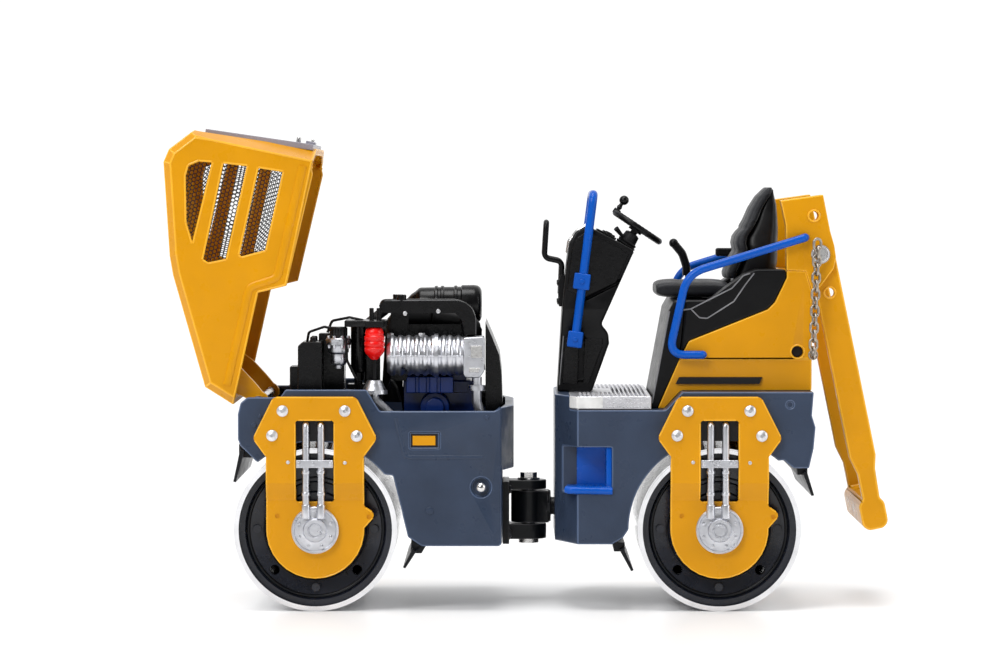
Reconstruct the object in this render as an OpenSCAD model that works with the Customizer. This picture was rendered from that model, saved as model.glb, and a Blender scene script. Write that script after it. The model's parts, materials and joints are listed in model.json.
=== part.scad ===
// Toy road roller at 1:20: an articulated tandem roller with two steel drums,
// an engine hood that tips forward and a roll bar that folds down behind.
// X runs from the front (-) to the rear (+) with the steering pin at X 0,
// Y runs across the machine and Z is up from the floor.
// The machine stands with its hood open and its roll bar folded.

/* [Drums] */
// Radius of each drum
drum_r = 18; // [17.5:0.1:18.5]
// Width of each drum
drum_w = 58; // [56:0.5:58]
// Thickness of the drum shell
drum_wall = 1.1; // [0.9:0.1:1.3]
// Distance from the steering pin forward to the front drum's axis
front_axle = 47.1; // [46.8:0.1:47.5]
// Distance from the steering pin back to the rear drum's axis
rear_axle = 41.9; // [41.5:0.1:42.2]

/* [Frames] */
// Width of both chassis frames
chassis_w = 58.4; // [58.2:0.1:59]
// Thickness of the chassis side walls
wall = 1.6; // [1.2:0.1:2]
// Gap between a drum and its wheel arch
arch_gap = 1.5; // [1.2:0.1:1.8]
// Thickness of the drum support plates
plate_t = 1.6; // [1.4:0.1:1.8]

/* [Hood] */
// Width of the engine hood
hood_w = 52; // [50:0.5:53]
// Thickness of the hood's skin
hood_skin = 1.2; // [1:0.1:1.4]
// Angle to which the hood is tipped open
hood_open = 78; // [60:1:80]

/* [Rear body] */
// Width of the yellow rear body
body_w = 45.6; // [44:0.2:46]
// Diameter of the blue tubes
rail_d = 1.8; // [1.6:0.1:2]

/* [Roll bar] */
// Width of each roll bar leg, seen from the side
leg_w = 5.9; // [5.5:0.1:6]
// Thickness of each roll bar leg, across the machine
leg_t = 2.8; // [2.4:0.1:2.9]
// Diameter of the roll bar's pivot pins
pin_d = 2; // [1.6:0.1:2.4]

/* [Controls] */
// Outer diameter of the steering wheel
wheel_d = 12.9; // [11:0.1:13]
// Lean of the steering column from upright
column_lean = 33.6; // [30:0.2:36]

/* [Hidden] */
$fn = 48;

yellow = [0.95, 0.66, 0.03];
slate = [0.25, 0.29, 0.36];
blue = [0.03, 0.36, 0.9];
engine_blue = [0.06, 0.16, 0.5];
black = [0.07, 0.07, 0.08];
grey = [0.55, 0.56, 0.58];
silver = [0.78, 0.78, 0.8];

fit = 0.05;                         // radial play of a running fit
clear = 0.35;                       // play between pieces that move past each other
half_c = chassis_w / 2;
half_d = drum_w / 2;
half_h = hood_w / 2;
half_b = body_w / 2;
axle_z = drum_r;
arch_r = drum_r + arch_gap;
front_x = -front_axle;
rear_x = rear_axle;

// ---- shared shapes ----

// A side outline of X and Z points, as thick as y0 to y1
module side_prism(points, y0, y1) {
    translate([0, y1, 0]) rotate([90, 0, 0]) linear_extrude(y1 - y0) polygon(points);
}

// The same outline centred on the machine, as wide as w
module centre_prism(points, w) {
    side_prism(points, -w / 2, w / 2);
}

// A plan outline of X and Y points between two heights
module plan_prism(points, z0, z1) {
    translate([0, 0, z0]) linear_extrude(z1 - z0) polygon(points);
}

// A cross-section of Y and Z points between two X planes
module cross_prism(points, x0, x1) {
    translate([x0, 0, 0]) rotate([90, 0, 90]) linear_extrude(x1 - x0) polygon(points);
}

// A round bar across the machine
module y_bar(x, z, r, y0, y1) {
    translate([x, y1, z]) rotate([90, 0, 0]) cylinder(h = y1 - y0, r = r);
}

// A round bar along the machine
module x_bar(y, z, r, x0, x1) {
    translate([x0, y, z]) rotate([0, 90, 0]) cylinder(h = x1 - x0, r = r);
}

// A box given by two opposite corners
module block(a, b) {
    translate(a) cube(b - a);
}

// Its children, and their mirror image on the other side of the machine
module both_sides() {
    children();
    mirror([0, 1, 0]) children();
}

// A flat rectangle with round corners, centred
module round_rect(w, h, r) {
    square([w - 2 * r, h], center = true);
    square([w, h - 2 * r], center = true);
    for (x = [-1, 1], y = [-1, 1]) {
        translate([x * (w / 2 - r), y * (h / 2 - r)]) circle(r);
    }
}

function unit2(v) = v / norm(v);

// The points of a bend of radius r at b, between the straights from a and to c
function bend(a, b, c, r, steps) =
    let (u = unit2(a - b), v = unit2(c - b), half = acos(u * v) / 2,
         reach = r / tan(half), mid = b + unit2(u + v) * r / sin(half),
         p = b + u * reach - mid, turn = sign(u[0] * v[1] - u[1] * v[0]) * (half * 2 - 180))
    [for (i = [0:steps]) let (t = turn * i / steps)
        mid + [p[0] * cos(t) - p[1] * sin(t), p[0] * sin(t) + p[1] * cos(t)]];

// An open path whose inner corners are rounded to radius r
function rounded_path(points, r, steps = 5) = [
    points[0],
    for (i = [1:len(points) - 2]) each bend(points[i - 1], points[i], points[i + 1], r, steps),
    points[len(points) - 1]
];

function heading(path, i) =
    unit2(path[min(i + 1, len(path) - 1)] - path[max(i - 1, 0)]);

// A round tube that follows a path of X and Z points in the plane Y = y
module side_tube(path, r, y, sides = 14) {
    rings = [for (i = [0:len(path) - 1]) let (h = heading(path, i))
        [for (k = [0:sides - 1]) let (a = 360 * k / sides)
            [path[i][0] - h[1] * r * cos(a), y + r * sin(a), path[i][1] + h[0] * r * cos(a)]]];
    last = len(path) - 1;
    polyhedron(
        points = [for (ring = rings) each ring],
        faces = [
            [for (k = [0:sides - 1]) sides - 1 - k],
            [for (k = [0:sides - 1]) last * sides + k],
            for (i = [0:last - 1], k = [0:sides - 1])
                [i * sides + k, i * sides + (k + 1) % sides,
                 (i + 1) * sides + (k + 1) % sides, (i + 1) * sides + k]
        ]);
}

// ---- drums ----

module drum_shell(x) {
    color(silver) translate([x, half_d, axle_z]) rotate([90, 0, 0])
    difference() {
        union() {
            cylinder(h = drum_w, r = drum_r - 0.3, $fn = 96);
            translate([0, 0, 0.3]) cylinder(h = drum_w - 0.6, r = drum_r, $fn = 96);
        }
        translate([0, 0, -1]) cylinder(h = drum_w + 2, r = drum_r - drum_wall, $fn = 96);
    }
}

disc_y = 23.4;                      // inner face of a drum end disc
shaft_r = 4;                        // drum motor shaft

// One end disc, with its face towards +Z and its inner face on Z 0
module drum_disc() {
    profile = [
        [shaft_r + fit, -3], [6.4, -3], [6.4, 0], [drum_r - drum_wall, 0],
        [drum_r - drum_wall, 3.6], [15.6, 3.6], [15.2, 2.6], [10.6, 2.0], [10.2, 1.4],
        [8.4, 1.4], [8.0, 2.2], [6.2, 2.2], [5.8, 1.4], [shaft_r + fit, 1.4]
    ];
    difference() {
        rotate_extrude($fn = 96) polygon(profile);
        for (a = [45:90:315]) {
            rotate(a) translate([12.9, 0, -1]) cylinder(h = 5, r = 1.1);
        }
    }
    for (a = [0:90:270]) {
        rotate(a) translate([12.9, 0, 2]) cylinder(h = 1.1, r = 0.9);
    }
}

module drum_discs(x) {
    color(black) both_sides()
        translate([x, -disc_y, axle_z]) rotate([90, 0, 0]) drum_disc();
}

// ---- drum supports, drawn about a drum axis at X 0, Z 0 ----

neck_w = 21.4;                      // width of a support plate beside the hub
head_z = 29.3;                      // top of a support plate above the axle
bend_low = 6.5;                     // the plate steps in between these heights
bend_high = 10.4;
window = [-4.3, 4.2, 6.2, 24.2];    // pipe window: two X limits, then two Z limits

function support_outline() = concat(
    rounded_path([[neck_w / 2, 0.4], [13.4, 3.4], [neck_w / 2, 5.2], [neck_w / 2, 16.2],
                  [13.6, 20.2], [9.0, head_z], [-9.1, head_z], [-13.6, 20.2],
                  [-neck_w / 2, 16.2], [-neck_w / 2, 0]], 1, 3),
    [for (a = [-174:12:-6]) [cos(a) * neck_w / 2, sin(a) * neck_w / 2]]
);

module support_plate() {
    color(yellow)
    difference() {
        intersection() {
            side_prism(support_outline(), -half_c - plate_t - 1, -half_c + plate_t + 1);
            cross_prism([
                [-half_c, head_z + 1], [-half_c - plate_t, head_z + 1],
                [-half_c - plate_t, bend_high], [-half_c, bend_low], [-half_c, -neck_w],
                [-half_c + plate_t, -neck_w], [-half_c + plate_t, bend_low - 0.6],
                [-half_c, bend_high - 0.6]], -20, 20);
        }
        translate([(window[0] + window[1]) / 2, -half_c + 5, (window[2] + window[3]) / 2])
            rotate([90, 0, 0]) linear_extrude(10)
            round_rect(window[1] - window[0], window[3] - window[2], 0.7);
        y_bar(0, 0, shaft_r + fit, -half_c - 5, -half_c + 5);
        for (p = bolt_places) {
            y_bar(p[0], p[1], 0.6, -half_c - 5, -half_c + 5);
        }
        // dimples below the bend
        for (p = [[-8.3, 3.1], [11.8, 2.9]]) {
            y_bar(p[0], p[1], 0.5, -half_c - 1, -half_c + 0.3);
        }
    }
}

bolt_places = [[-7.1, 26.3], [6.6, 26.3], [-9.4, 20.9], [9.2, 20.8]];

// Domed bolts through the plate into the chassis
module support_bolts() {
    color(silver) for (p = bolt_places) {
        translate([p[0], -half_c - plate_t, p[1]]) rotate([90, 0, 0]) difference() {
            union() {
                translate([0, 0, -plate_t - 1]) cylinder(h = plate_t + 1, r = 0.58);
                cylinder(h = 0.35, r = 1.25);
                intersection() {
                    cylinder(h = 0.9, r = 1.25);
                    translate([0, 0, -1.0]) sphere(r = 1.8);
                }
            }
            translate([0, 0, 0.4]) cylinder(h = 1, r = 0.4, $fn = 6);
        }
    }
}

hub_r = 5.2;                        // outer flange of a drum motor

// Drum motor: an outer flange with bolts, and a shaft into the drum's end disc
module hub_motor() {
    color(silver) translate([0, -half_c, 0]) rotate([90, 0, 0]) {
        difference() {
            union() {
                cylinder(h = 1.2, r = hub_r);
                cylinder(h = 1.7, r = 3.6);
                for (a = [22.5:45:360]) {
                    rotate(a) translate([4.35, 0, 0]) cylinder(h = 1.65, r = 0.45);
                }
                translate([0, 0, disc_y - half_c - 2.5])
                    cylinder(h = half_c - disc_y + 2.5, r = shaft_r);
            }
            translate([0, 0, 1.3]) cylinder(h = 1, r = 1.2, $fn = 6);
        }
        for (x = pipe_x) {
            translate([x - 0.9, 2.2, 1.2]) cube([1.8, pipe_low - 2.2, 1.1]);
        }
    }
}

pipe_x = [-2.0, 1.3];
pipe_r = 0.7;
pipe_y = -half_c - 1.15;            // how far out the hydraulic pipes run
pipe_low = 5.3;
pipe_top = 22.6;

// Two hydraulic pipes down to the motor, held by one clamp bar
module support_pipes() {
    color(silver) {
        for (x = pipe_x) {
            translate([x, pipe_y, pipe_low]) cylinder(h = pipe_top - pipe_low, r = pipe_r);
            translate([x, pipe_y, pipe_top]) sphere(r = pipe_r);
            y_bar(x, pipe_top, pipe_r, pipe_y, -half_c);
            translate([x, pipe_y, 18.6]) cylinder(h = 1.5, r = 0.95);
        }
        difference() {
            block([window[0] + 0.2, pipe_y - 0.95, 13.7], [window[1] - 0.2, pipe_y + 0.95, 15.6]);
            for (x = pipe_x) {
                translate([x, pipe_y, 10]) cylinder(h = 10, r = pipe_r);
            }
        }
    }
}

module at_front_drum() {
    translate([front_x, 0, axle_z]) children();
}

module at_rear_drum() {
    translate([rear_x, 0, axle_z]) children();
}

// ---- front frame ----

nose_x = -64.1;
front_end = -3.4;                   // rear end of the front frame, on the centre line
front_outline = [
    [-62.2, 35.2], [-63.6, 36.6], [nose_x, 38], [nose_x, 43.5], [-63.5, 46], [-62, 47.2],
    [-54.8, 47.2], [-53.6, 48.9], [-35.8, 48.9], [-32.9, 44.2], [-7.7, 44.2], [-6.3, 45],
    [front_end, 45], [front_end, 31], [-5.9, 31], [-5.9, 15], [-6.6, 14.4], [-23.6, 14.4],
    [-26.7, 16.4], [-30, 30], [-60, 33]
];
// Engine bay, open at the top
bay_outline = [
    [-62.5, 60], [-62.5, 38], [-26.4, 24], [-25.4, 17], [-8, 17], [-8, 33], [-5.4, 33],
    [-5.4, 60]
];
hinge_x = -59.8;
hinge_z = 46.1;
bay_w = chassis_w - 2 * wall;
tie_x = -10.6;
tie_z = 27.4;

module front_chassis() {
    color(slate)
    difference() {
        intersection() {
            centre_prism(front_outline, chassis_w);
            plan_prism([[-70, -half_c], [-6.2, -half_c], [front_end, -17], [front_end, 17],
                        [-6.2, half_c], [-70, half_c]], 0, 60);
        }
        y_bar(front_x, axle_z, arch_r, -40, 40, $fn = 96);
        intersection() {
            difference() {
                centre_prism(bay_outline, bay_w);
                y_bar(front_x, axle_z, arch_r + wall, -40, 40, $fn = 96);
            }
            plan_prism([[-70, -40], [-9.5, -40], [-5.6, -15.5], [-5.6, 15.5], [-9.5, 40],
                        [-70, 40]], 0, 70);
        }
        // the front wall is lower than the side walls, so the hood can tip over it
        block([-70, -half_c + wall, 45.2], [-60, half_c - wall, 60]);
        both_sides() {
            y_bar(tie_x, tie_z, 2.2, -half_c - 1, -half_c + 1.2);
            // shallow panel pressed into the side
            translate([-23, -half_c + 0.25, 37.7]) rotate([90, 0, 0]) linear_extrude(2)
                round_rect(6.6, 3.6, 0.4);
            at_front_drum() for (p = bolt_places) {
                y_bar(p[0], p[1], 0.6, -half_c - 5, -half_c + 1);
            }
        }
        // bolt holes of the steering fork
        for (y = [-7, 7], z = [15.4, 25.4]) {
            x_bar(y, z, 0.6, -9, -3);
        }
        y_bar(hinge_x, hinge_z, 1, -half_c + 0.6, half_c - 0.6);
        // open underside between the bay floor and the fork
        block([-23, -20, 10], [-20, 20, 15]);
    }
}

module tie_down_balls() {
    color(silver) both_sides() {
        translate([tie_x, -half_c + 1.2, tie_z]) rotate([90, 0, 0]) {
            cylinder(h = 0.6, r = 0.8);
            translate([0, 0, 1.4]) sphere(r = 1.2);
        }
    }
}

module hood_hinge_pin() {
    color(silver) y_bar(hinge_x, hinge_z, 1, -half_c + 0.6, half_c - 0.6);
}

// ---- steering joint ----

knuckle_z = 21.2;                   // height of the oscillation axis
knuckle_top = 24.8;
knuckle_low = 17.6;
steer_r = 1.6;                      // steering pin
fork_w = 18;                        // width of the fork's bracket plate

module fork_arm(z0, z1) {
    block([-5, -4, z0], [0, 4, z1]);
    translate([0, 0, z0]) cylinder(h = z1 - z0, r = 4);
}

module steering_fork() {
    color(black)
    difference() {
        union() {
            block([-5.9, -fork_w / 2, 13.2], [-4.4, fork_w / 2, 27.2]);
            fork_arm(knuckle_top + 0.3, 27.2);
            fork_arm(13.9, knuckle_low - 0.3);
            for (y = [-7, 7], z = [15.4, 25.4]) {
                x_bar(y, z, 0.55, -8.5, -5.9);
                x_bar(y, z, 0.9, -4.4, -3.9);
            }
        }
        translate([0, 0, 10]) cylinder(h = 20, r = steer_r);
    }
}

module steering_pin() {
    color(silver) {
        translate([0, 0, 13.4]) cylinder(h = 14, r = steer_r);
        translate([0, 0, 27.2]) cylinder(h = 0.4, r = 2.5);
        translate([0, 0, 27.6]) cylinder(h = 1.2, r = 1.9, $fn = 6);
        translate([0, 0, 12.9]) cylinder(h = 1, r = 2.3);
    }
}

module knuckle() {
    color(black)
    difference() {
        union() {
            translate([0, 0, knuckle_low]) cylinder(h = knuckle_top - knuckle_low, r = 4);
            block([0, -3.4, knuckle_low], [4.4, 3.4, knuckle_top]);
            x_bar(0, knuckle_z, 3.6, 4.2, 5.0);
            x_bar(0, knuckle_z, 2, 5.0, 12.4);
            x_bar(0, knuckle_z, 3, 11.2, 12.8);
        }
        translate([0, 0, 10]) cylinder(h = 20, r = steer_r + fit);
    }
}

// ---- engine ----

module engine_block() {
    color(engine_blue) {
        block([-25.2, -9, 17], [-11.5, 9, 38]);
        block([-28.2, -11, 38], [-12.2, 11, 50]);
        block([-27, -9.5, 50], [-14, 9.5, 57]);
        // side cover and mounting feet
        difference() {
            block([-27.3, -17.5, 47.6], [-16.9, -11, 51.2]);
            for (x = [-25.3:2.4:-18.3]) {
                block([x, -18, 47], [x + 0.8, -17, 52]);
            }
        }
        y_bar(-21, 44.4, 3.2, -15, -11);
        y_bar(-21, 44.4, 2, -16, -15);
        both_sides() block([-22, -13, 17], [-14, -9, 19]);
    }
}

module battery() {
    color(black) difference() {
        union() {
            side_prism([[-51.3, 37], [-51.3, 58.2], [-50.3, 59.1], [-46, 59.1], [-46, 37]], -21, -9);
            block([-47, filter_y + 3.6, 37], [-41.3, -9, 60.8]);
            block([-53.2, -19, 37], [-51.3, -10, 53.6]);
            for (y = [-18.5, -11.8]) {
                translate([-48, y, 59.1]) cylinder(h = 1.1, r = 0.7);
            }
            block([-50.8, -9, 37], [-42, 15, 56]);
            y_bar(-46.5, 52, 4.2, 15, 18);
        }
        // stands on the arch over the drum
        y_bar(front_x, axle_z, arch_r + wall, -40, 40, $fn = 96);
    }
}

filter_x = -42.4;
filter_y = -17;

module fuel_filter() {
    translate([filter_x, filter_y, 0]) {
        color(silver) {
            translate([0, 0, 58.4]) cylinder(h = 1.5, r = 2.8);
            for (a = [30:120:270]) {
                rotate(a) translate([2.5, 0, 58.5]) cylinder(h = 1.2, r = 0.7);
            }
            translate([0, 0, 56.5]) cylinder(h = 1.9, r = 2.3);
            translate([0, 0, 53.8]) cylinder(h = 2.7, r = 1.75);
            translate([0, 0, 53.1]) cylinder(h = 0.7, r = 0.8);
        }
        color(black) {
            translate([0, 0, 59.9]) cylinder(h = 2.5, r = 2.5);
            block([-1, 2, 58.6], [1, 3.6, 62.2]);
        }
    }
}

bulb_x = -34.3;
bulb_y = -20.9;

module primer_bulb() {
    translate([bulb_x, bulb_y, 0]) {
        color([0.85, 0.06, 0.05]) {
            translate([0, 0, 57]) cylinder(h = 5.4, r = 2.27);
            translate([0, 0, 54.9]) cylinder(h = 2.1, r1 = 0.8, r2 = 2.27);
        }
        color(black) translate([0, 0, 50.6]) cylinder(h = 4.3, r = 0.5);
    }
}

module filter_bracket() {
    color(black) {
        block([-41, -20, 62.4], [-31.6, -8, 63.8]);
        block([bulb_x - 2, -22.8, 62.4], [bulb_x + 2, -20, 63.8]);
        for (x = [-35, -33.4]) {
            translate([x, -18.4, 63.8]) cylinder(h = 2.8, r = 0.5);
        }
        // solenoid below the bracket, and the post that carries both
        translate([-38.2, -11.5, 52]) cylinder(h = 10.4, r = 1.7);
        translate([-38.2, -11.5, 49.4]) cylinder(h = 2.6, r = 0.9);
        block([-40.6, -13, 38.6], [-32.6, -7.4, 49.4]);
        block([-36.4, -13, 49.4], [-33.4, -7.4, 62.4]);
    }
}

muffler_y = -17.4;
muffler_z = 56;
muffler_x0 = -31.6;
muffler_x1 = -14.5;

module muffler() {
    color(silver) {
        x_bar(muffler_y, muffler_z, 4.2, muffler_x0, muffler_x1);
        for (i = [0:8]) {
            x = muffler_x0 + 0.1 + i * 1.9;
            x_bar(muffler_y, muffler_z, 4.55, x, x + 1.1);
        }
        x_bar(muffler_y, muffler_z, 4.9, -20.9, -20.1);
        block([muffler_x1, -22, 51.2], [-9.9, -12.4, 60.3]);
        block([-26, -15, 57], [-18, -9.5, 59]);
    }
}

exhaust_x = -11.6;

module engine_pipes() {
    color(silver) {
        // exhaust pipe down from the silencer box
        translate([exhaust_x, muffler_y, 49.4]) cylinder(h = 1.8, r = 1.1);
        translate([exhaust_x, muffler_y, 48.2]) cylinder(h = 1.2, r = 1.9);
        side_tube(rounded_path([[exhaust_x, 48.2], [exhaust_x, 45.6], [-10.6, 42], [-10.6, 33]], 3),
                  1.1, muffler_y);
        // coolant neck and pipe below the primer bulb
        translate([bulb_x, bulb_y, 48.4]) cylinder(h = 2.2, r1 = 2.7, r2 = 1.6);
        translate([bulb_x, bulb_y, 47.6]) cylinder(h = 0.8, r = 2.9);
        side_tube(rounded_path([[bulb_x, 47.6], [bulb_x, 46.4], [-30.4, 42.6], [-28.7, 39.2]], 1.5),
                  1.1, bulb_y);
    }
}

module intake_duct() {
    color(black) {
        side_prism(concat(
            [[-33.2, 66.2], [-33.4, 67.2], [-32.2, 68.1]],
            [for (a = [90:-15:0]) [-16.3 + cos(a) * 4.4, 63.8 + sin(a) * 4.4]],
            [[-11.9, 60.6], [-14.3, 60.6], [-14.6, 63.4], [-16.4, 65.4], [-32.2, 65.4]]),
            -17, -8);
        // manifold wall that carries the duct on the engine
        block([-31, -9.5, 50], [-27, -8, 65.4]);
        block([-31, -8, 57], [-14, 6, 62.6]);
        translate([-29.3, -13.5, 68.1]) cylinder(h = 1.4, r = 1.1);
    }
}

air_z = 67.1;
air_y = 1.5;

module air_filter() {
    color(black) {
        x_bar(air_y, air_z, 3.5, -25.3, -21.5);
        x_bar(air_y, air_z, 3.9, -21.5, -12.2);
        x_bar(air_y, air_z, 4.15, -20.3, -18.6);
        x_bar(air_y, air_z, 4.15, -17.4, -15.6);
        x_bar(air_y, air_z, 4.2, -13.2, -10.6);
        x_bar(air_y, air_z, 2.2, -28, -25.3);
        block([-22, air_y - 2, 62.6], [-15, air_y + 2, 65]);
    }
}

module fan_shroud() {
    color(black)
    difference() {
        centre_prism([[-9.7, 33.2], [-9.7, 63.4], [-8.2, 60], [-6.6, 56], [-6.1, 52],
                      [-5.9, 45.2], [-5.9, 33.2]], 32);
        x_bar(0, 46, 10.4, -20, -8);
    }
    color(black) {
        x_bar(0, 46, 2.4, -12.2, -7.9);
        for (a = [0:60:300]) {
            translate([-9.6, 0, 46]) rotate([a, 0, 0]) translate([0, -1.3, 1.8])
                cube([0.8, 2.6, 8.3]);
        }
    }
}

// ---- hood, drawn closed and then tipped open about its hinge ----

hood_outline = [
    [-61.5, 44], [-61.5, 51.8], [-59.1, 58.3], [-36.4, 70.3], [-32.4, 71.9], [-12.4, 77.5],
    [-9.4, 76.9], [-4.2, 72.4], [-2.6, 44]
];
hood_edge = 1.9;                    // bevel around each side of the hood
hood_low = 44.6;
hood_high = 51.2;
windows = [
    [[-10.6, 69.9], [-10.2, 66.9], [-28.6, 67.5], [-24.4, 69.8], [-14.3, 72.1], [-12, 71.9]],
    [[-9.9, 64.5], [-9.4, 59.2], [-30.5, 59.5], [-32.1, 63.2], [-31.6, 64.5]],
    [[-9.3, 56.7], [-9.0, 51.2], [-26.8, 51.4], [-29.3, 56.3], [-28.9, 56.9]]
];

module tip_open() {
    translate([hinge_x, 0, hinge_z]) rotate([0, -hood_open, 0])
        translate([-hinge_x, 0, -hinge_z]) children();
}

// The hood as a solid, smaller by the given skin on every side
module hood_solid(skin) {
    intersection() {
        hull() {
            rotate([90, 0, 0]) linear_extrude(2 * (half_h - hood_edge - skin), center = true)
                offset(delta = -skin) polygon(hood_outline);
            rotate([90, 0, 0]) linear_extrude(2 * (half_h - skin), center = true)
                offset(delta = -skin - hood_edge * 0.8) polygon(hood_outline);
        }
        plan_prism([[-70, -40], [-7, -40], [-5.4 - skin * 0.6, -half_h + skin],
                    [-2 - skin * 1.3, -15.5], [-2 - skin * 1.3, 15.5],
                    [-5.4 - skin * 0.6, half_h - skin], [-7, 40], [-70, 40]], 0, 100);
    }
}

// Everything below the hood's stepped lower edge
module below_hood() {
    centre_prism([[-80, 0], [-80, hood_high + 0.4], [-36.2, hood_high], [-33.4, hood_low + 0.8],
                  [-8.2, hood_low + 0.2], [-6.8, hood_low + 0.8], [10, hood_low + 0.8], [10, 0]],
                 100);
}

module hood_shell() {
    color(yellow) tip_open() difference() {
        hood_solid(0);
        difference() {
            hood_solid(hood_skin);
            block([-70, -40, 0], [10, 40, 40]);
        }
        // the inside runs down through the open underside
        plan_prism([[-60, -half_h + 3.2], [-7, -half_h + 3.2], [-4.2, -14], [-4.2, 14],
                    [-7, half_h - 3.2], [-60, half_h - 3.2]], 40, 51);
        plan_prism([[-59.6, -half_h + hood_skin], [-7, -half_h + hood_skin],
                    [-7, half_h - hood_skin], [-59.6, half_h - hood_skin]], 40, 50);
        below_hood();
        for (w = windows) {
            centre_prism(w, 100);
        }
    }
}

module hood_grilles() {
    color(black) tip_open() both_sides() for (w = windows) {
        side_prism(w, -half_h + 0.5, -half_h + 0.9);
    }
}

module hood_rear_panel() {
    color(grey) tip_open() {
        centre_prism([[-3.9, 69.6], [-3.3, 69.7], [-1.75, 46.2], [-2.35, 46.2]], 29);
        block([-2.1, -2.4, 46.6], [-1.2, 2.4, 48.6]);
    }
}

module hood_arms() {
    color(yellow) tip_open() both_sides() difference() {
        union() {
            y_bar(hinge_x, hinge_z, 2.1, -22.2, -20.6);
            side_prism([[hinge_x - 0.6, hinge_z + 1.6], [-59.9, 48.9], [-59, 52.2],
                        [-56.5, 56.8], [-52.6, 58.6], [-51.4, 56.2], [-53.4, 51.6],
                        [-56, 47.9], [hinge_x + 1.6, hinge_z - 1]], -22.2, -20.6);
            block([-56.5, -half_h + hood_skin, 52.6], [-54.6, -22.2, 54.6]);
        }
        y_bar(hinge_x, hinge_z, 1 + fit, -30, 0);
    }
}

// ---- rear frame ----

rear_start = 5.8;                   // front end of the rear frame, on the centre line
rear_outline = [
    [rear_start, 47.4], [rear_start, 14.8], [18.2, 14.8], [20.6, 16.2], [30, 30], [56, 33.4],
    [58.2, 31.6], [61.6, 31.6], [62.6, 36], [63.0, 40.6], [62.2, 43.2], [62.6, 48.4],
    [33.7, 48.4], [30, 44.4], [9, 44.4], [9, 47.4]
];
bevel_x = 10.6;                     // where the rear frame's corner bevels start

module rear_plan(z0, z1, trim) {
    plan_prism([[rear_start, -17 + trim], [bevel_x, -half_c + trim], [90, -half_c + trim],
                [90, half_c - trim], [bevel_x, half_c - trim], [rear_start, 17 - trim]], z0, z1);
}

step_x = 18.2;                      // rear wall of the step pocket
step_depth = 8.2;

module rear_chassis() {
    color(slate)
    difference() {
        intersection() {
            centre_prism(rear_outline, chassis_w);
            rear_plan(0, 60, 0);
        }
        y_bar(rear_x, axle_z, arch_r + 0.5, -40, 40, $fn = 96);
        both_sides() {
            block([0, -half_c - 1, 26], [step_x, -half_c + step_depth, 36.2]);
                at_rear_drum() for (p = bolt_places) {
                y_bar(p[0], p[1], 0.6, -half_c - 5, -half_c + 1);
            }
            y_bar(57.4, 45.6, 0.8, -half_c - 1, -half_c + 0.5);
        }
        // oscillation bearing and the space for its nut
        x_bar(0, knuckle_z, 2 + fit, 0, 20);
        x_bar(0, knuckle_z, 3.4, 10.8, 20);
        block([7.6, -12, 14], [12.6, 12, 15.4]);
        block([13.2, -16, 10], [18, 16, 30]);
        block([10.8, -8, 16.6], [13.4, 8, 26]);
    }
}

module side_steps() {
    color(blue) both_sides() {
        block([8.4, -half_c - 0.2, 26], [step_x, -half_c + step_depth, 27.5]);
        block([step_x - 1.2, -half_c + 0.6, 27.5], [step_x, -half_c + step_depth, 36.2]);
        block([10.6, -half_c + step_depth - 1, 27.5], [step_x - 1.2, -half_c + step_depth, 36.2]);
    }
}

module floor_plate() {
    color(silver) intersection() {
        block([9, -30, 44.4], [26.9, 30, 47.4]);
        rear_plan(0, 60, 0.6);
    }
}

// Scraper: a bracket on the frame and a blade that trails against the drum
module scraper(root, tip) {
    u = unit2(tip - root);
    n = [-u[1], u[0]];
    side_prism([root - n * 0.5, tip - n * 0.3, tip + n * 0.3, root + n * 0.5],
               -half_d + 2, half_d - 2);
}

module front_scrapers() {
    color(black) {
        scraper([-63.3, 35.4], [-65.0, 28.4]);
        centre_prism([[-63.6, 36.6], [-61.4, 34.4], [-61.4, 33.6], [-64.2, 33.6], [-64.2, 36.6]], 48);
        scraper([-25.4, 13.2], [-27.6, 9.4]);
        centre_prism([[-26.08, 16], [-26.2, 12.4], [-23.8, 12.4], [-22.6, 14.4], [-23.6, 14.4]], 48);
    }
}

module rear_scrapers() {
    color(black) {
        scraper([20.4, 13.6], [22.8, 8.8]);
        centre_prism([[18.4, 14.8], [18.8, 12.8], [21.2, 12.8], [21.2, 14.8]], 48);
        scraper([60.8, 30.6], [62.6, 25.4]);
        centre_prism([[59.2, 31.6], [59.4, 29.8], [61.6, 29.8], [61.6, 31.6]], 48);
    }
}

// ---- console and controls ----

console_w = 18;
deck_z = 47.4;
console_outline = [
    [6.4, deck_z], [7.7, 69.3], [9.0, 80.6], [10.4, 83.4], [13.0, 84.9], [14.9, 83.9],
    [20.9, 80.8], [23.7, 79.2], [19.4, 69.6], [16.3, 62.6], [17.9, 60.6], [18.1, 58.3],
    [14.2, deck_z]
];

module console() {
    color(black)
    difference() {
        intersection() {
            centre_prism(console_outline, console_w);
            cross_prism([[-7.2, deck_z - 1], [-7.2, 60], [-9, 66], [-9, 82], [-7.6, 90], [7.6, 90],
                         [9, 82], [9, 66], [7.2, 60], [7.2, deck_z - 1]], 0, 40);
        }
        // panel lines moulded into the sides
        both_sides() {
            side_prism([[12.4, 68], [20.6, 72.2], [20.9, 72.8], [12.2, 68.6]], -9.1, -8.8);
            side_prism([[10.2, 50], [12.6, 50], [13.4, 58], [11, 62]], -9.1, -7.0);
        }
    }
}

// Instrument panel on the sloped top of the console
module dash_panel() {
    color([0.13, 0.13, 0.14]) translate([14.9, 0, 83.9]) rotate([0, 27.3, 0]) {
        block([0.4, -6.6, 0], [5.2, 6.6, 0.5]);
        for (y = [-3.6, 3.6]) {
            translate([3.3, y, 0.5]) cylinder(h = 0.35, r = 1.5);
        }
        translate([3.3, 0, 0.5]) cylinder(h = 0.5, r = 0.8);
    }
}

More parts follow.
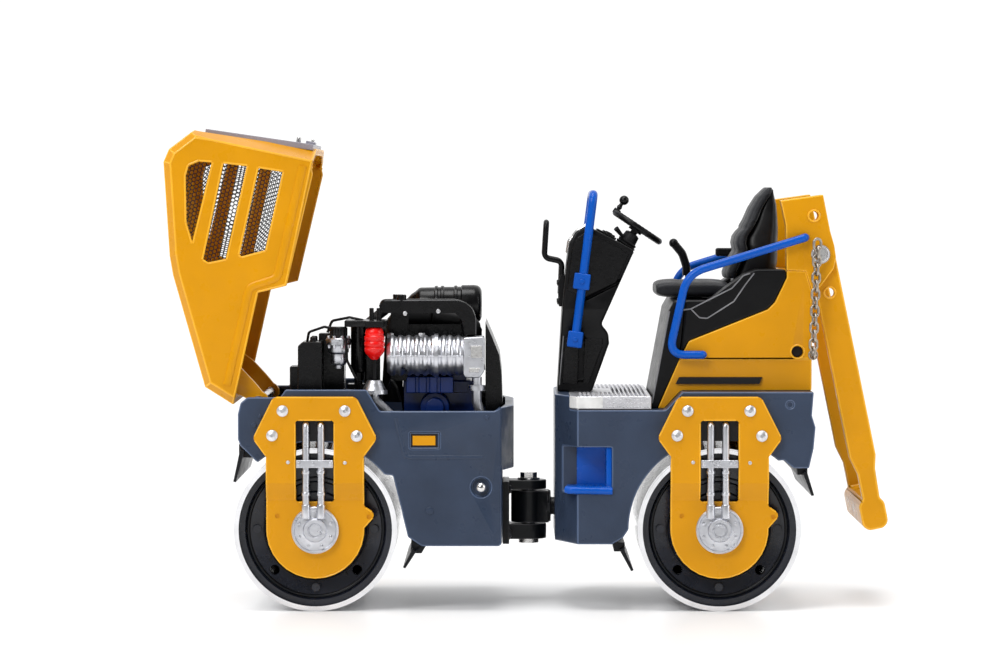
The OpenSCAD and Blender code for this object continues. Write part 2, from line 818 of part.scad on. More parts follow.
wheel_place = [24.6, 0, 84.4];
wheel_r = wheel_d / 2 - 0.6;

module on_column() {
    translate(wheel_place) rotate([0, column_lean, 0]) children();
}

module steering_column() {
    color(black) difference() {
        on_column() {
            translate([0, 0, -5.2]) cylinder(h = 3.6, r = 1.5);
            translate([0, 0, -5.4]) cylinder(h = 1.6, r = 2.3);
            translate([0, 0, -1.6]) cylinder(h = 1.0, r = 0.8);
        }
        centre_prism(console_outline, 40);
    }
}

module steering_wheel() {
    color(black) on_column() difference() {
        union() {
            rotate_extrude() translate([wheel_r, 0]) circle(0.62, $fn = 24);
            translate([0, 0, -1.3]) cylinder(h = 1.7, r = 1.6);
            for (a = [90, 210, 330]) {
                rotate(a) translate([1.2, -0.55, -0.7]) cube([wheel_r - 1.3, 1.1, 0.6]);
            }
            translate([-wheel_r, 0, 0]) cylinder(h = 1, r = 0.75);
        }
        translate([0, 0, -2]) cylinder(h = 1.5, r = 0.8 + fit);
        translate([-wheel_r, 0, -0.2]) cylinder(h = 3, r = 0.35 + fit);
    }
}

module spinner_knob() {
    color(black) on_column() translate([-wheel_r, 0, 0]) {
        translate([0, 0, -0.1]) cylinder(h = 2.4, r = 0.35);
        translate([0, 0, 1.15]) cylinder(h = 1.6, r1 = 0.5, r2 = 0.7);
        translate([0, 0, 3.4]) sphere(r = 1.05);
    }
}

guard_y = console_w / 2 + 1.3;

module console_guard() {
    color(blue) {
        both_sides() {
            side_tube([[10.3, 58.2], [14.5, 91.8]], rail_d / 2 + 0.05, -guard_y);
            translate([10.4, -guard_y, 59.3]) rotate([0, 7, 0]) cube([3.4, 2.2, 3.6], center = true);
            translate([11.9, -guard_y, 72.3]) rotate([0, 7, 0]) cube([3.7, 2.2, 3.6], center = true);
            block([9.6, -guard_y + 0.9, 57.8], [11.4, -7.2, 60]);
        }
        y_bar(14.5, 91.8, rail_d / 2 + 0.1, -guard_y - 0.8, guard_y + 0.8);
    }
}

module front_handle() {
    handle_y = 6;
    color([0.2, 0.2, 0.21]) {
        both_sides() {
            side_tube(rounded_path([[4.0, 85.3], [3.4, 77.6], [7.6, 76.6], [7.2, 69.8]], 1.4),
                      0.6, -handle_y);
            difference() {
                block([6.7, -handle_y - 0.9, 66.6], [8.1, -handle_y + 0.9, 73.6]);
                centre_prism(console_outline, 40);
            }
        }
        y_bar(4.0, 85.5, 0.65, -handle_y - 0.6, handle_y + 0.6);
    }
}

// ---- seat and rear body ----

// Edge along which the black seat pedestal meets the yellow body
seam = [[33.4, 55.6], [35.4, 59.4], [52.8, 66.4], [54.4, 68], [57, 73.4]];
seat_z = 68.3;

module seat_panel() {
    color(black) centre_prism([
        [26.9, 44.4], [31.0, 66.2], [32.2, seat_z], [34.6, seat_z], [33.4, 55.6], [28.5, 44.4]
    ], body_w - 1);
}

module seat_pedestal() {
    color(black) {
        centre_prism([seam[0], seam[1], seam[2], seam[3], [54.5, seat_z], [34.6, seat_z]],
                     body_w - 0.4);
        // wings beside the seat
        both_sides() side_prism([[40, seat_z], [40.2, seat_z + 0.4], [47.6, 74.2], [50.4, 75.2],
            [56.9, 75.2], seam[4], [54.5, seat_z]], -half_b + 0.2, -12.3);
    }
}

module seat_cushion() {
    color(black) centre_prism(concat(
        [[45.1, seat_z + 0.1], [45.1, 72.7]],
        [for (a = [80:-20:-80]) [30.4 - cos(a) * 2.2, 70.55 + sin(a) * 2.15]],
        []), 23.6);
}

module seat_back() {
    color(black) intersection() {
        centre_prism([[45.2, seat_z + 0.1], [54.3, seat_z + 0.1], [56.3, 72.8], [56.3, 89.6],
            [54.9, 93.3], [53.6, 93.6], [52.6, 92.8], [48.7, 87.2], [45.5, 82.4], [45.0, 80.6], [45.8, 78.6],
            [44.2, 74.2], [43.4, 72.9], [45.2, 72.9]], 22);
        cross_prism([[-11, 60], [-11, 84], [-8.4, 92], [-7, 94], [7, 94], [8.4, 92], [11, 84],
            [11, 60]], 40, 60);
    }
}

module armrest() {
    color(black) {
        block([43, 12.6, 77.6], [51, 15.6, 79.5]);
        block([48.6, 12.6, 75.2], [50.8, 14.4, 77.6]);
        block([50, 11, 77.8], [51, 12.6, 79.2]);
    }
}

lever_place = [36.4, 15, 72.6];

module lever_gate() {
    color(black) difference() {
        union() {
            block([33.2, 12.5, seat_z], [39.9, 17.6, 71.2]);
            translate([lever_place[0], lever_place[1], 71.2]) cylinder(h = 0.5, r = 2.2);
        }
        // slot for the lever, and its pivot
        block([lever_place[0] - 2, lever_place[1] - 0.6, 69.4],
              [lever_place[0] + 2, lever_place[1] + 0.6, 73]);
        y_bar(lever_place[0], 70.2, 0.5 + fit, 12.9, 17.1);
    }
}

module travel_lever() {
    color(black) translate([0, lever_place[1], 0]) {
        y_bar(lever_place[0], 70.2, 0.5, -1.8, 1.8);
        block([lever_place[0] - 0.35, -0.25, 70.2], [lever_place[0] + 0.35, 0.25, 74]);
        side_tube(rounded_path([[36.4, 73.2], [36.3, 75.4], [35.4, 78.2], [33.4, 80.6]], 3), 0.95, 0);
        translate([33.4, 0, 80.6]) sphere(r = 1.05);
    }
}

module rear_body() {
    color(yellow)
    difference() {
        union() {
            centre_prism(concat([[28.5, 44.4]], seam, [[57, 74.9], [61.2, 74.9], [62.6, 70.2],
                [62.6, 48.4], [33.7, 48.4], [30, 44.4]]), body_w);
        }
        // lower band sits back a little from the upper panel
        both_sides() {
            side_prism([[20, 40], [20, 55.4], [70, 55.4], [70, 40]], -half_b - 1, -half_b + 0.45);
            y_bar(59.4, 57.0, 1.3, -half_b - 1, -half_b + 1.5);
            // room for the folded roll bar leg
            block([60, -half_b + 0.9, 60], [70, -half_b + 1.7 + leg_t, 80]);
        }
    }
}

// Side rail from the body's front corner up and back to the roll bar post
rail_y = half_b + 1.5;
rail_foot = [38.4, 56.4];
rail_low = [30.9, 56.4];            // corner beside the seat's front panel
rail_high = [34.9, 74.3];           // corner beside the seat cushion
rail_end = [61.3, 82.4];
rail_path = concat([rail_foot], bend(rail_foot, rail_low, rail_high, 4.2, 5),
                   bend(rail_low, rail_high, rail_end, 7, 6), [rail_end]);

module side_rails() {
    color(blue) both_sides() {
        side_tube(rail_path, rail_d / 2, -rail_y);
        y_bar(rail_foot[0] - 0.9, rail_foot[1], rail_d / 2, -rail_y, -half_b);
        y_bar(rail_end[0] - 0.8, rail_end[1] - 0.25, rail_d / 2, -rail_y, -half_b);
    }
}

// ---- roll bar ----

pivot_x = 64.8;
pivot_z = 78.6;
leg_y = half_b - 1 - clear - leg_t / 2;     // centre of a leg, across the machine
post_outline = [
    [57, 75], [56.8, 85], [55.6, 90.5], [65.0, 91.8], [66.6, 83.7], [67.5, 80.6], [67.9, 77.9],
    [67.4, 75.4], [64.6, 71.6], [62.6, 70.3], [61.2, 74.9]
];
lock_z = 87.1;
lock_x = 63;

module rops_posts() {
    color(yellow) both_sides() difference() {
        side_prism(post_outline, -half_b, -half_b + 2 + 2 * clear + leg_t);
        // channel for the leg, open to the rear and to the top
        side_prism([[58.6, 74], [58.4, 85.2], [57.4, 95], [80, 95], [80, 60], [60, 60]],
                   -half_b + 1, -half_b + 1 + 2 * clear + leg_t);
        y_bar(pivot_x, pivot_z, pin_d / 2, -40, 0);
        y_bar(lock_x, lock_z, 1.0, -40, 0);
    }
}

module rops_pins() {
    color(silver) both_sides() {
        y_bar(pivot_x, pivot_z, pin_d / 2, -half_b - 0.2, -half_b + 2.2 + 2 * clear + leg_t);
        y_bar(pivot_x - 0.4, pivot_z, 2.1, -half_b - 0.9, -half_b);
        y_bar(pivot_x, pivot_z, 1.6, -half_b + 2 + 2 * clear + leg_t,
              -half_b + 2.8 + 2 * clear + leg_t);
    }
}

lean = 11.6;                        // how far the folded roll bar hangs out behind
hoop_len = 62.3;                    // pivot to the far face of the cross bar

module rops_hoop() {
    color(yellow) translate([pivot_x, 0, pivot_z]) rotate([0, -lean, 0]) {
        both_sides() difference() {
            union() {
                y_bar(0, 0, leg_w / 2, -leg_y - leg_t / 2, -leg_y + leg_t / 2);
                side_prism([[-leg_w / 2, 0], [-leg_w / 2, -45.5], [-1.9, -49.5], [-1.9, -56],
                    [1.9, -56], [2.2, -49], [leg_w / 2, -46], [leg_w / 2, 0]],
                    -leg_y - leg_t / 2, -leg_y + leg_t / 2);
            }
            y_bar(0, 0, pin_d / 2 + fit, -40, 0);
            y_bar((pivot_x - lock_x) * cos(lean) + (pivot_z - lock_z) * sin(lean), -8.7, 1.0, -40, 0);
        }
        translate([-0.16, 0, -hoop_len + 3.5]) rotate([90, 0, 0])
            linear_extrude(2 * leg_y + leg_t, center = true) round_rect(5.8, 7, 2);
    }
}

// ---- tether chains of the roll bar pins ----

wire_r = 0.3;
link_l = 3.1;                       // outer length of a link
link_w = 2.3;                       // outer width of a link
chain_x = 63.6;
chain_y = half_b + 2.15;
chain_top = 80.8;
links = 14;
pitch = link_l - 4 * wire_r - 0.06;

module link() {
    r = link_w / 2 - wire_r;
    straight = link_l - link_w;
    for (s = [-1, 1]) {
        translate([s * r, 0, -straight / 2]) cylinder(h = straight, r = wire_r, $fn = 16);
        translate([0, 0, s * straight / 2]) rotate([90, 0, 0]) rotate(s > 0 ? 0 : 180)
            rotate_extrude(angle = 180, $fn = 24) translate([r, 0]) circle(wire_r, $fn = 16);
    }
}

module rops_chains() {
    color(silver) both_sides() {
        for (i = [0:links - 1]) {
            translate([chain_x - i * 0.07, -chain_y, chain_top - i * pitch])
                rotate([0, 0, i % 2 == 0 ? 20 : 110]) link();
        }
        // eye at the foot of the chain, and a stud below the upper link
        y_bar(chain_x - links * 0.07, chain_top - links * pitch + 1.4, 0.3, -chain_y - 0.4, -half_b);
        translate([chain_x - 0.9, -chain_y, chain_top - links * pitch + 1.4])
            rotate([0, 0, 20]) rotate([90, 0, 0]) rotate_extrude() translate([1.0, 0]) circle(0.2);
    }
}

// ---- the nodes ----

rear_chassis();
at_rear_drum() support_plate();  // rear_plate_left
at_rear_drum() mirror([0, 1, 0]) support_plate();  // rear_plate_right
at_rear_drum() both_sides() support_bolts();  // rear_plate_bolts
at_rear_drum() both_sides() hub_motor();  // rear_hub_motors
at_rear_drum() both_sides() support_pipes();  // rear_pipes
rear_scrapers();
floor_plate();
side_steps();
console();
dash_panel();
console_guard();
front_handle();
steering_column();
seat_panel();
seat_pedestal();
seat_cushion();
seat_back();
armrest();
lever_gate();
rear_body();
side_rails();
rops_posts();
rops_pins();
rops_chains();
knuckle();
front_chassis();
at_front_drum() support_plate();  // front_plate_left
at_front_drum() mirror([0, 1, 0]) support_plate();  // front_plate_right
at_front_drum() both_sides() support_bolts();  // front_plate_bolts
at_front_drum() both_sides() hub_motor();  // front_hub_motors
at_front_drum() both_sides() support_pipes();  // front_pipes
front_scrapers();
steering_fork();
steering_pin();
hood_hinge_pin();
tie_down_balls();
engine_block();
battery();
fuel_filter();
primer_bulb();
filter_bracket();
muffler();
engine_pipes();
intake_duct();
air_filter();
fan_shroud();
drum_shell(front_x);  // front_drum_shell
drum_discs(front_x);  // front_drum_discs
drum_shell(rear_x);  // rear_drum_shell
drum_discs(rear_x);  // rear_drum_discs
hood_shell();
hood_grilles();
hood_rear_panel();
hood_arms();
rops_hoop();
steering_wheel();
spinner_knob();
travel_lever();
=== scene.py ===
import json
from math import copysign, cos, exp, pi, radians, sin, sqrt, tan

import bmesh
import bpy
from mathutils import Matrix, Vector


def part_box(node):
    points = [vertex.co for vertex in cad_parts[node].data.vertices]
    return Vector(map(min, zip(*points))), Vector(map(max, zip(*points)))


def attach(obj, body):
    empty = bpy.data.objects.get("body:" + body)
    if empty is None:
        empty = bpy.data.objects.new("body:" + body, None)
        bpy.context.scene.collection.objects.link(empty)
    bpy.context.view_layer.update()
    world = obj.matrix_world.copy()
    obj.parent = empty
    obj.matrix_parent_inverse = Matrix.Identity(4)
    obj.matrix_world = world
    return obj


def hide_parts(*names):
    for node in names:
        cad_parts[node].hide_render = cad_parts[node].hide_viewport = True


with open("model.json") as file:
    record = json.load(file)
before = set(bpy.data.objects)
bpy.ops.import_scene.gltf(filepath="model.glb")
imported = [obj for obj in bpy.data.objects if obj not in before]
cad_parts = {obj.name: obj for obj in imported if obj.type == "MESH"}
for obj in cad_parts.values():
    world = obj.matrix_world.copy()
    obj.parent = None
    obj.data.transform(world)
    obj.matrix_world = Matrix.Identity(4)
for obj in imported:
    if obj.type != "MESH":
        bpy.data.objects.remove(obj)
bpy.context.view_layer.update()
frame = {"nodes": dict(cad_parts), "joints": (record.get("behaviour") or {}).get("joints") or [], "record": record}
nodes = frame["nodes"]

MM = 0.001


def mm(*values):
    """A point given in millimetres."""
    return Vector([v * MM for v in values])


# ---------------- materials

def new_material(name):
    material = bpy.data.materials.new(name)
    material.use_nodes = True
    tree = material.node_tree
    return material, tree, tree.nodes["Principled BSDF"]


def place_of(tree):
    """The place on the object that is being coloured, in metres."""
    return tree.nodes.new("ShaderNodeTexCoord").outputs["Object"]


def new_node(tree, kind, settings):
    """A new node with some of its inputs set."""
    node = tree.nodes.new("ShaderNode" + kind)
    set_inputs(node, settings)
    return node


def set_inputs(node, settings):
    for name, value in settings.items():
        node.inputs[name].default_value = value


def noise(tree, scale, detail=3.0):
    node = new_node(tree, "TexNoise", {"Scale": scale, "Detail": detail, "Roughness": 0.55})
    tree.links.new(place_of(tree), node.inputs["Vector"])
    return node.outputs["Fac"]


def spread(tree, fac, low, high, start=0.3, end=0.7):
    """The fac, stretched so that start..end becomes low..high."""
    node = new_node(tree, "MapRange",
                    {"From Min": start, "From Max": end, "To Min": low, "To Max": high})
    tree.links.new(fac, node.inputs["Value"])
    return node.outputs["Result"]


def blend_colours(tree, fac, first, second):
    node = tree.nodes.new("ShaderNodeMix")
    node.data_type = "RGBA"
    set_inputs(node, {"A": (*first, 1), "B": (*second, 1)})
    tree.links.new(fac, node.inputs["Factor"])
    return node.outputs["Result"]


def bump(tree, height, depth, below=None):
    node = new_node(tree, "Bump", {"Distance": depth, "Strength": 1.0})
    tree.links.new(height, node.inputs["Height"])
    if below is not None:
        tree.links.new(below, node.inputs["Normal"])
    return node.outputs["Normal"]


def shade(colour, factor):
    """The colour made darker or lighter."""
    return tuple(min(1.0, c * factor) for c in colour)


def clouded(tree, colour, scale, dark, light):
    """The colour, drifting slowly between two shades of itself."""
    cloud = spread(tree, noise(tree, scale), 0, 1)
    return blend_colours(tree, cloud, shade(colour, dark), shade(colour, light))


def enamel(name, colour, rough=0.22, coat=0.5, peel=0.5, variation=0.08, shine=0.3):
    """Sprayed gloss paint: faint orange peel, uneven gloss and a little dust in the colour."""
    material, tree, shader = new_material(name)
    base = clouded(tree, colour, 90.0, 1 - variation, 1 + variation)
    speck = spread(tree, noise(tree, 2600.0, 2), 0, 1, 0.62, 0.75)
    dust = tree.nodes.new("ShaderNodeMix")
    dust.data_type = "RGBA"
    dust.inputs["B"].default_value = (*shade(colour, 0.82), 1)
    tree.links.new(base, dust.inputs["A"])
    tree.links.new(spread(tree, speck, 0, 0.25, 0, 1), dust.inputs["Factor"])
    tree.links.new(dust.outputs["Result"], shader.inputs["Base Color"])
    tree.links.new(spread(tree, noise(tree, 260.0), rough * 0.8, rough * 1.3),
                   shader.inputs["Roughness"])
    fine = bump(tree, noise(tree, 1500.0, 2), 0.00002 * peel)
    tree.links.new(bump(tree, noise(tree, 160.0, 2), 0.00008 * peel, below=fine),
                   shader.inputs["Normal"])
    set_inputs(shader, {"Specular IOR Level": shine, "Coat Weight": coat, "Coat Roughness": 0.08})
    return material


def moulded(name, colour, rough=0.42, grain=3200.0, depth=0.00003, variation=0.25, shine=0.3):
    """Moulded plastic with a fine spark-eroded grain."""
    material, tree, shader = new_material(name)
    base = clouded(tree, colour, 140.0, 1 - variation, 1 + variation)
    tree.links.new(base, shader.inputs["Base Color"])
    tree.links.new(spread(tree, noise(tree, 420.0), rough * 0.8, rough * 1.25),
                   shader.inputs["Roughness"])
    tree.links.new(bump(tree, noise(tree, grain, 4), depth), shader.inputs["Normal"])
    shader.inputs["Specular IOR Level"].default_value = shine
    return material


def metal(name, colour, rough=0.25, depth=0.00002, scale=1800.0, lathe=False):
    """Bare or plated metal; lathe adds fine turning marks around Y."""
    material, tree, shader = new_material(name)
    base = clouded(tree, colour, 200.0, 0.86, 1.06)
    tree.links.new(base, shader.inputs["Base Color"])
    tree.links.new(spread(tree, noise(tree, 500.0), rough * 0.75, rough * 1.35),
                   shader.inputs["Roughness"])
    if lathe:
        wave = new_node(tree, "TexWave", {"Scale": 900.0, "Distortion": 1.5, "Detail": 2.0})
        wave.wave_type = "BANDS"
        wave.bands_direction = "Y"
        tree.links.new(place_of(tree), wave.inputs["Vector"])
        marks = bump(tree, wave.outputs["Fac"], 0.000004)
        tree.links.new(bump(tree, noise(tree, 60.0, 2), 0.00006, below=marks),
                       shader.inputs["Normal"])
    else:
        tree.links.new(bump(tree, noise(tree, scale, 3), depth), shader.inputs["Normal"])
    shader.inputs["Metallic"].default_value = 1.0
    return material


def vinyl(name, colour):
    """Padded seat vinyl: a leather grain of small cells with a soft sheen."""
    material, tree, shader = new_material(name)
    cells = new_node(tree, "TexVoronoi", {"Scale": 1900.0})
    cells.feature = "DISTANCE_TO_EDGE"
    tree.links.new(place_of(tree), cells.inputs["Vector"])
    base = clouded(tree, colour, 160.0, 0.7, 1.35)
    tree.links.new(base, shader.inputs["Base Color"])
    tree.links.new(spread(tree, noise(tree, 300.0), 0.38, 0.55), shader.inputs["Roughness"])
    grain = bump(tree, spread(tree, cells.outputs["Distance"], 0, 1, 0, 0.25), 0.00003)
    tree.links.new(bump(tree, noise(tree, 250.0, 3), 0.00010, below=grain),
                   shader.inputs["Normal"])
    set_inputs(shader, {"Specular IOR Level": 0.3, "Sheen Weight": 0.08, "Sheen Roughness": 0.4})
    return material


YELLOW = (0.66, 0.285, 0.0006)
SLATE = (0.032, 0.047, 0.082)
BLUE = (0.002, 0.085, 0.46)
ENGINE_BLUE = (0.002, 0.022, 0.15)
BLACK = (0.003, 0.003, 0.0035)

yellow = enamel("yellow_enamel", YELLOW, rough=0.30, coat=0.06, shine=0.2, variation=0.05)
# a lighter yellow: a painted highlight for rounded edges, edge beads and hole rims
yellow_highlight = enamel("yellow_highlight", (0.84, 0.42, 0.02), rough=0.3, coat=0.1)
slate = enamel("slate_enamel", SLATE, rough=0.32, coat=0.1, peel=1.2, variation=0.14, shine=0.2)
# a lighter slate: a painted highlight for rounded edges
slate_highlight = enamel("slate_highlight", shade(SLATE, 2.2), rough=0.33, coat=0.2)
blue = enamel("blue_enamel", BLUE, rough=0.26, coat=0.06, variation=0.1, shine=0.2)
engine_blue = enamel("engine_blue", ENGINE_BLUE, rough=0.35, coat=0.2, variation=0.2)
black_plastic = moulded("black_plastic", (0.003, 0.003, 0.0035), rough=0.36, shine=0.2)
black_gloss = moulded("black_gloss", BLACK, rough=0.26, grain=1200.0, depth=0.00002, shine=0.25)
black_metal = enamel("black_metal", (0.005, 0.006, 0.008), rough=0.32, coat=0.08, peel=0.8,
                     variation=0.2, shine=0.2)
# a lighter black: a painted highlight for rounded edges
black_highlight = enamel("black_highlight", (0.04, 0.04, 0.045), rough=0.36, coat=0.2)
dark_grey = moulded("dark_grey", (0.018, 0.018, 0.020), rough=0.36)
grey_panel = enamel("grey_panel", (0.30, 0.29, 0.34), rough=0.35, coat=0.2)
rubber = moulded("rubber", (0.007, 0.007, 0.008), rough=0.55, grain=2400.0)
chrome = metal("drum_chrome", (0.86, 0.86, 0.88), rough=0.10, lathe=True)
cast_silver = metal("cast_silver", (0.66, 0.67, 0.71), rough=0.33, depth=0.00005, scale=1300.0)
bright_steel = metal("bright_steel", (0.72, 0.71, 0.70), rough=0.24)
bolt_steel = metal("bolt_steel", (0.68, 0.68, 0.70), rough=0.42)
tread_metal = metal("tread_metal", (0.74, 0.74, 0.77), rough=0.38, depth=0.00004, scale=2200.0)
seat_vinyl = vinyl("seat_vinyl", (0.009, 0.010, 0.013))
red_plastic = moulded("red_plastic", (0.78, 0.006, 0.005), rough=0.25, grain=900.0,
                      depth=0.00005, variation=0.12, shine=0.4)
# black for the label and the body stripe, and also for painted shade: the sheets behind the plate windows, the
# strip under the deck's edge and the recess floor
decal_and_shade_black = enamel("decal_and_shade_black", (0.006, 0.005, 0.006), rough=0.4, coat=0.05, peel=0.2)
# a light grey for the pedestal's seams, and for painted highlights: the lines down the console fronts and along
# the duct arm
seam_and_highlight_grey = moulded("seam_and_highlight_grey", (0.20, 0.20, 0.21), rough=0.5)
# a white used only for the strip along the deck's edge: a painted reflection
reflection_white = moulded("reflection_white", (0.75, 0.75, 0.74), rough=0.2)

FINISH = {
    "yellow_paint": yellow, "slate_paint": slate, "blue_paint": blue,
    "engine_blue": engine_blue, "black_plastic": black_plastic, "black_gloss": black_gloss,
    "black_metal": black_metal, "black_mesh": black_metal, "grey_panel": grey_panel,
    "dark_grey": dark_grey, "drum_chrome": chrome, "cast_silver": cast_silver,
    "bright_steel": bright_steel, "tread_plate": tread_metal, "seat_vinyl": seat_vinyl,
    "red_plastic": red_plastic,
}
# each paint's lighter copy, which paints a highlight on its rounded edges
EDGE = {"yellow_paint": yellow_highlight, "slate_paint": slate_highlight, "black_metal": black_highlight}
slot_of = {s["node"]: s["material_slot"] for s in frame["record"]["subparts"]}
body_of = {n: b for b, members in frame["record"]["behaviour"]["bodies"].items() for n in members}


def paint(mesh, *materials):
    mesh.materials.clear()
    for material in materials:
        mesh.materials.append(material)


for name, node in nodes.items():
    paint(node.data, FINISH[slot_of[name]])

# ---------------- mesh helpers

SMOOTH_BELOW = 35
PIERCED_SMOOTH_BELOW = 3
ROUND_ABOVE = 32
SAME_POINT = 2e-6
FLAT_WITHIN = radians(0.6)


def fill_mesh(mesh, bm, smooth_below):
    """Puts the bmesh in the mesh, shaded smooth but for edges sharper than the angle in degrees."""
    bmesh.ops.recalc_face_normals(bm, faces=bm.faces)
    bm.to_mesh(mesh)
    bm.free()
    mesh.shade_smooth()
    mesh.set_sharp_from_angle(angle=radians(smooth_below))


def add_object(name, data):
    made = bpy.data.objects.new(name, data)
    bpy.context.scene.collection.objects.link(made)
    return made


def add_mesh(name, mesh, body):
    piece = add_object(name, mesh)
    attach(piece, body)
    return piece


def baked(piece):
    """Applies a piece's modifiers to its mesh."""
    bpy.context.view_layer.update()
    graph = bpy.context.evaluated_depsgraph_get()
    mesh = bpy.data.meshes.new_from_object(piece.evaluated_get(graph))
    piece.modifiers.clear()
    piece.data = mesh
    return piece


def round_edges(piece, width, angle, highlight_edges=False):
    """Rounds edges sharper than the angle; the last argument gives the rounded edges the mesh's second material, a
    lighter copy that paints a highlight on them.
    """
    bevel = piece.modifiers.new("bevel", "BEVEL")
    bevel.width = width
    bevel.segments = 2
    bevel.limit_method = "ANGLE"
    bevel.angle_limit = radians(angle)
    bevel.use_clamp_overlap = False
    bevel.harden_normals = True
    bevel.miter_outer = "MITER_ARC"
    if highlight_edges:
        bevel.material = 1
    return baked(piece)


def joined_copy(mesh, flat_faces=True):
    """A bmesh of a CAD mesh with its corners joined and, if asked, its flat faces made whole."""
    bm = bmesh.new()
    bm.from_mesh(mesh)
    bmesh.ops.remove_doubles(bm, verts=bm.verts, dist=SAME_POINT)
    if flat_faces:
        bmesh.ops.dissolve_limit(bm, angle_limit=FLAT_WITHIN, verts=bm.verts, edges=bm.edges)
    return bm


def softened(name, width):
    """A copy of a CAD node, with edges rounded by a width in mm, which stands for the node.

    A width of 0 is for a pierced plate: its triangles are kept as they are, because whole
    faces with windows in them tear when they are rounded.
    """
    angle = ROUND_ABOVE if width else PIERCED_SMOOTH_BELOW
    slot = slot_of[name]
    mesh = nodes[name].data.copy()
    fill_mesh(mesh, joined_copy(mesh, flat_faces=width > 0), angle)
    # the second material, where the slot has one, is a lighter copy: a painted highlight on the rounded edges
    paint(mesh, FINISH[slot], *([EDGE[slot]] if slot in EDGE else []))
    piece = add_mesh(name + "_skin", mesh, body_of[name])
    if width:
        round_edges(piece, width * MM, angle, slot in EDGE)
    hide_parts(name)


# ---------------- camera, floor and light

CAMERA_AT = mm(-4.0, -953.6, 92.8)
CAMERA_DOWN, CAMERA_TURN = 1.946, 0.15
camera_data = bpy.data.cameras.new("camera")
camera_data.lens = 151.5
camera_data.sensor_width = 36
camera = add_object("camera", camera_data)
camera.location = CAMERA_AT
camera.rotation_euler = (radians(90 - CAMERA_DOWN), 0, radians(CAMERA_TURN))
bpy.context.scene.camera = camera

FLOOR_HALF = 3.0
bm = bmesh.new()
bmesh.ops.create_grid(bm, x_segments=2, y_segments=2, size=FLOOR_HALF)
floor_mesh = bpy.data.meshes.new("floor")
bm.to_mesh(floor_mesh)
bm.free()
floor = add_object("floor", floor_mesh)
floor_mat, floor_tree, floor_shader = new_material("floor_white")
floor_tree.links.new(
    blend_colours(floor_tree, noise(floor_tree, 3.0), (0.90, 0.90, 0.90), (0.93, 0.93, 0.93)),
    floor_shader.inputs["Base Color"])
floor_shader.inputs["Roughness"].default_value = 0.35
floor_mesh.materials.append(floor_mat)

# the studio is white behind the machine and darker on the side it is seen from
world = bpy.data.worlds.new("studio")
world.use_nodes = True
sky = world.node_tree
direction = sky.nodes.new("ShaderNodeTexCoord")
split = sky.nodes.new("ShaderNodeSeparateXYZ")
sky.links.new(direction.outputs["Generated"], split.inputs["Vector"])
brightness = spread(sky, split.outputs["Y"], 0.12, 1.08, -0.7, 0.75)
background = sky.nodes["Background"]
background.inputs["Color"].default_value = (1.0, 1.0, 1.0, 1)
sky.links.new(brightness, background.inputs["Strength"])
bpy.context.scene.world = world
bpy.context.scene.view_settings.view_transform = "Standard"


def soft_light(name, place, target, size, power):
    data = bpy.data.lights.new(name, "AREA")
    data.shape = "RECTANGLE"
    data.size, data.size_y = size
    data.energy = power
    light = add_object(name, data)
    light.location = place
    light.rotation_euler = (target - place).to_track_quat("-Z", "Y").to_euler()


middle = mm(0, 0, 50)
soft_light("key", mm(-450, -700, 650), middle, (0.45, 0.35), 5.0)
soft_light("side", mm(800, -300, 350), middle, (0.25, 0.6), 1.6)

# a wide, soft sun stands for the studio's ceiling light
overhead = bpy.data.lights.new("overhead", "SUN")
overhead.energy = 1.9
overhead.angle = radians(35)
overhead_light = add_object("overhead", overhead)
overhead_light.rotation_euler = (radians(8), radians(-6), 0)


# ---------------- shapes, in millimetres

SIDES = (-1, 1)
STRAIGHT_ON = radians(89.5)


def turns(count, start=0.0):
    """Angles spaced evenly round a circle; start is in degrees."""
    return [radians(start) + 2 * pi * k / count for k in range(count)]


def join_rings(bm, rings, closed=False):
    """Faces between each ring of points and the next; closed joins the last to the first."""
    after = rings[1:] + rings[:1] if closed else rings[1:]
    for first, second in zip(rings, after):
        for k in range(len(first)):
            m = (k + 1) % len(first)
            bm.faces.new((first[k], first[m], second[m], second[k]))


def closed_stack(bm, rings):
    """A solid of joined rings with a face at both ends."""
    join_rings(bm, rings)
    bm.faces.new(rings[0][::-1])
    bm.faces.new(rings[-1])


def between(bm, low, high):
    """A solid between two outlines with the same number of points."""
    low, high = [[bm.verts.new(mm(*p)) for p in outline] for outline in (low, high)]
    bm.faces.new(low)
    bm.faces.new(high[::-1])
    for i in range(len(low)):
        j = (i + 1) % len(low)
        bm.faces.new((low[i], high[i], high[j], low[j]))


def prism(bm, outline, y0, y1):
    """A side outline of X and Z points between two Y planes."""
    between(bm, [(x, y0, z) for x, z in outline], [(x, y1, z) for x, z in outline])


def side_prism(bm, outline, side, y_in, y_out):
    """A prism on one side of the machine, between two distances from its middle."""
    prism(bm, outline, *sorted((side * y_in, side * y_out)))


def block(bm, low, high):
    prism(bm, [(low[0], low[2]), (high[0], low[2]), (high[0], high[2]), (low[0], high[2])],
          low[1], high[1])


def side_block(bm, side, low, high):
    """A block on one side of the machine, whose Y values are distances from its middle."""
    y0, y1 = sorted((side * low[1], side * high[1]))
    block(bm, (low[0], y0, low[2]), (high[0], y1, high[2]))


def rounded(points, radius, steps=6):
    """Points of a path whose corners are rounded; works in three dimensions."""
    points = [Vector(p) for p in points]
    out = [points[0]]
    for a, b, c in zip(points, points[1:], points[2:]):
        u, v = (a - b).normalized(), (c - b).normalized()
        half = u.angle(v) / 2
        if half > STRAIGHT_ON:
            out.append(b)
            continue
        reach = min(radius / tan(half), (a - b).length * 0.49, (c - b).length * 0.49)
        start, end = b + u * reach, b + v * reach
        for k in range(steps + 1):
            t = k / steps
            out.append((1 - t) ** 2 * start + 2 * t * (1 - t) * b + t ** 2 * end)
    return out + [points[-1]]


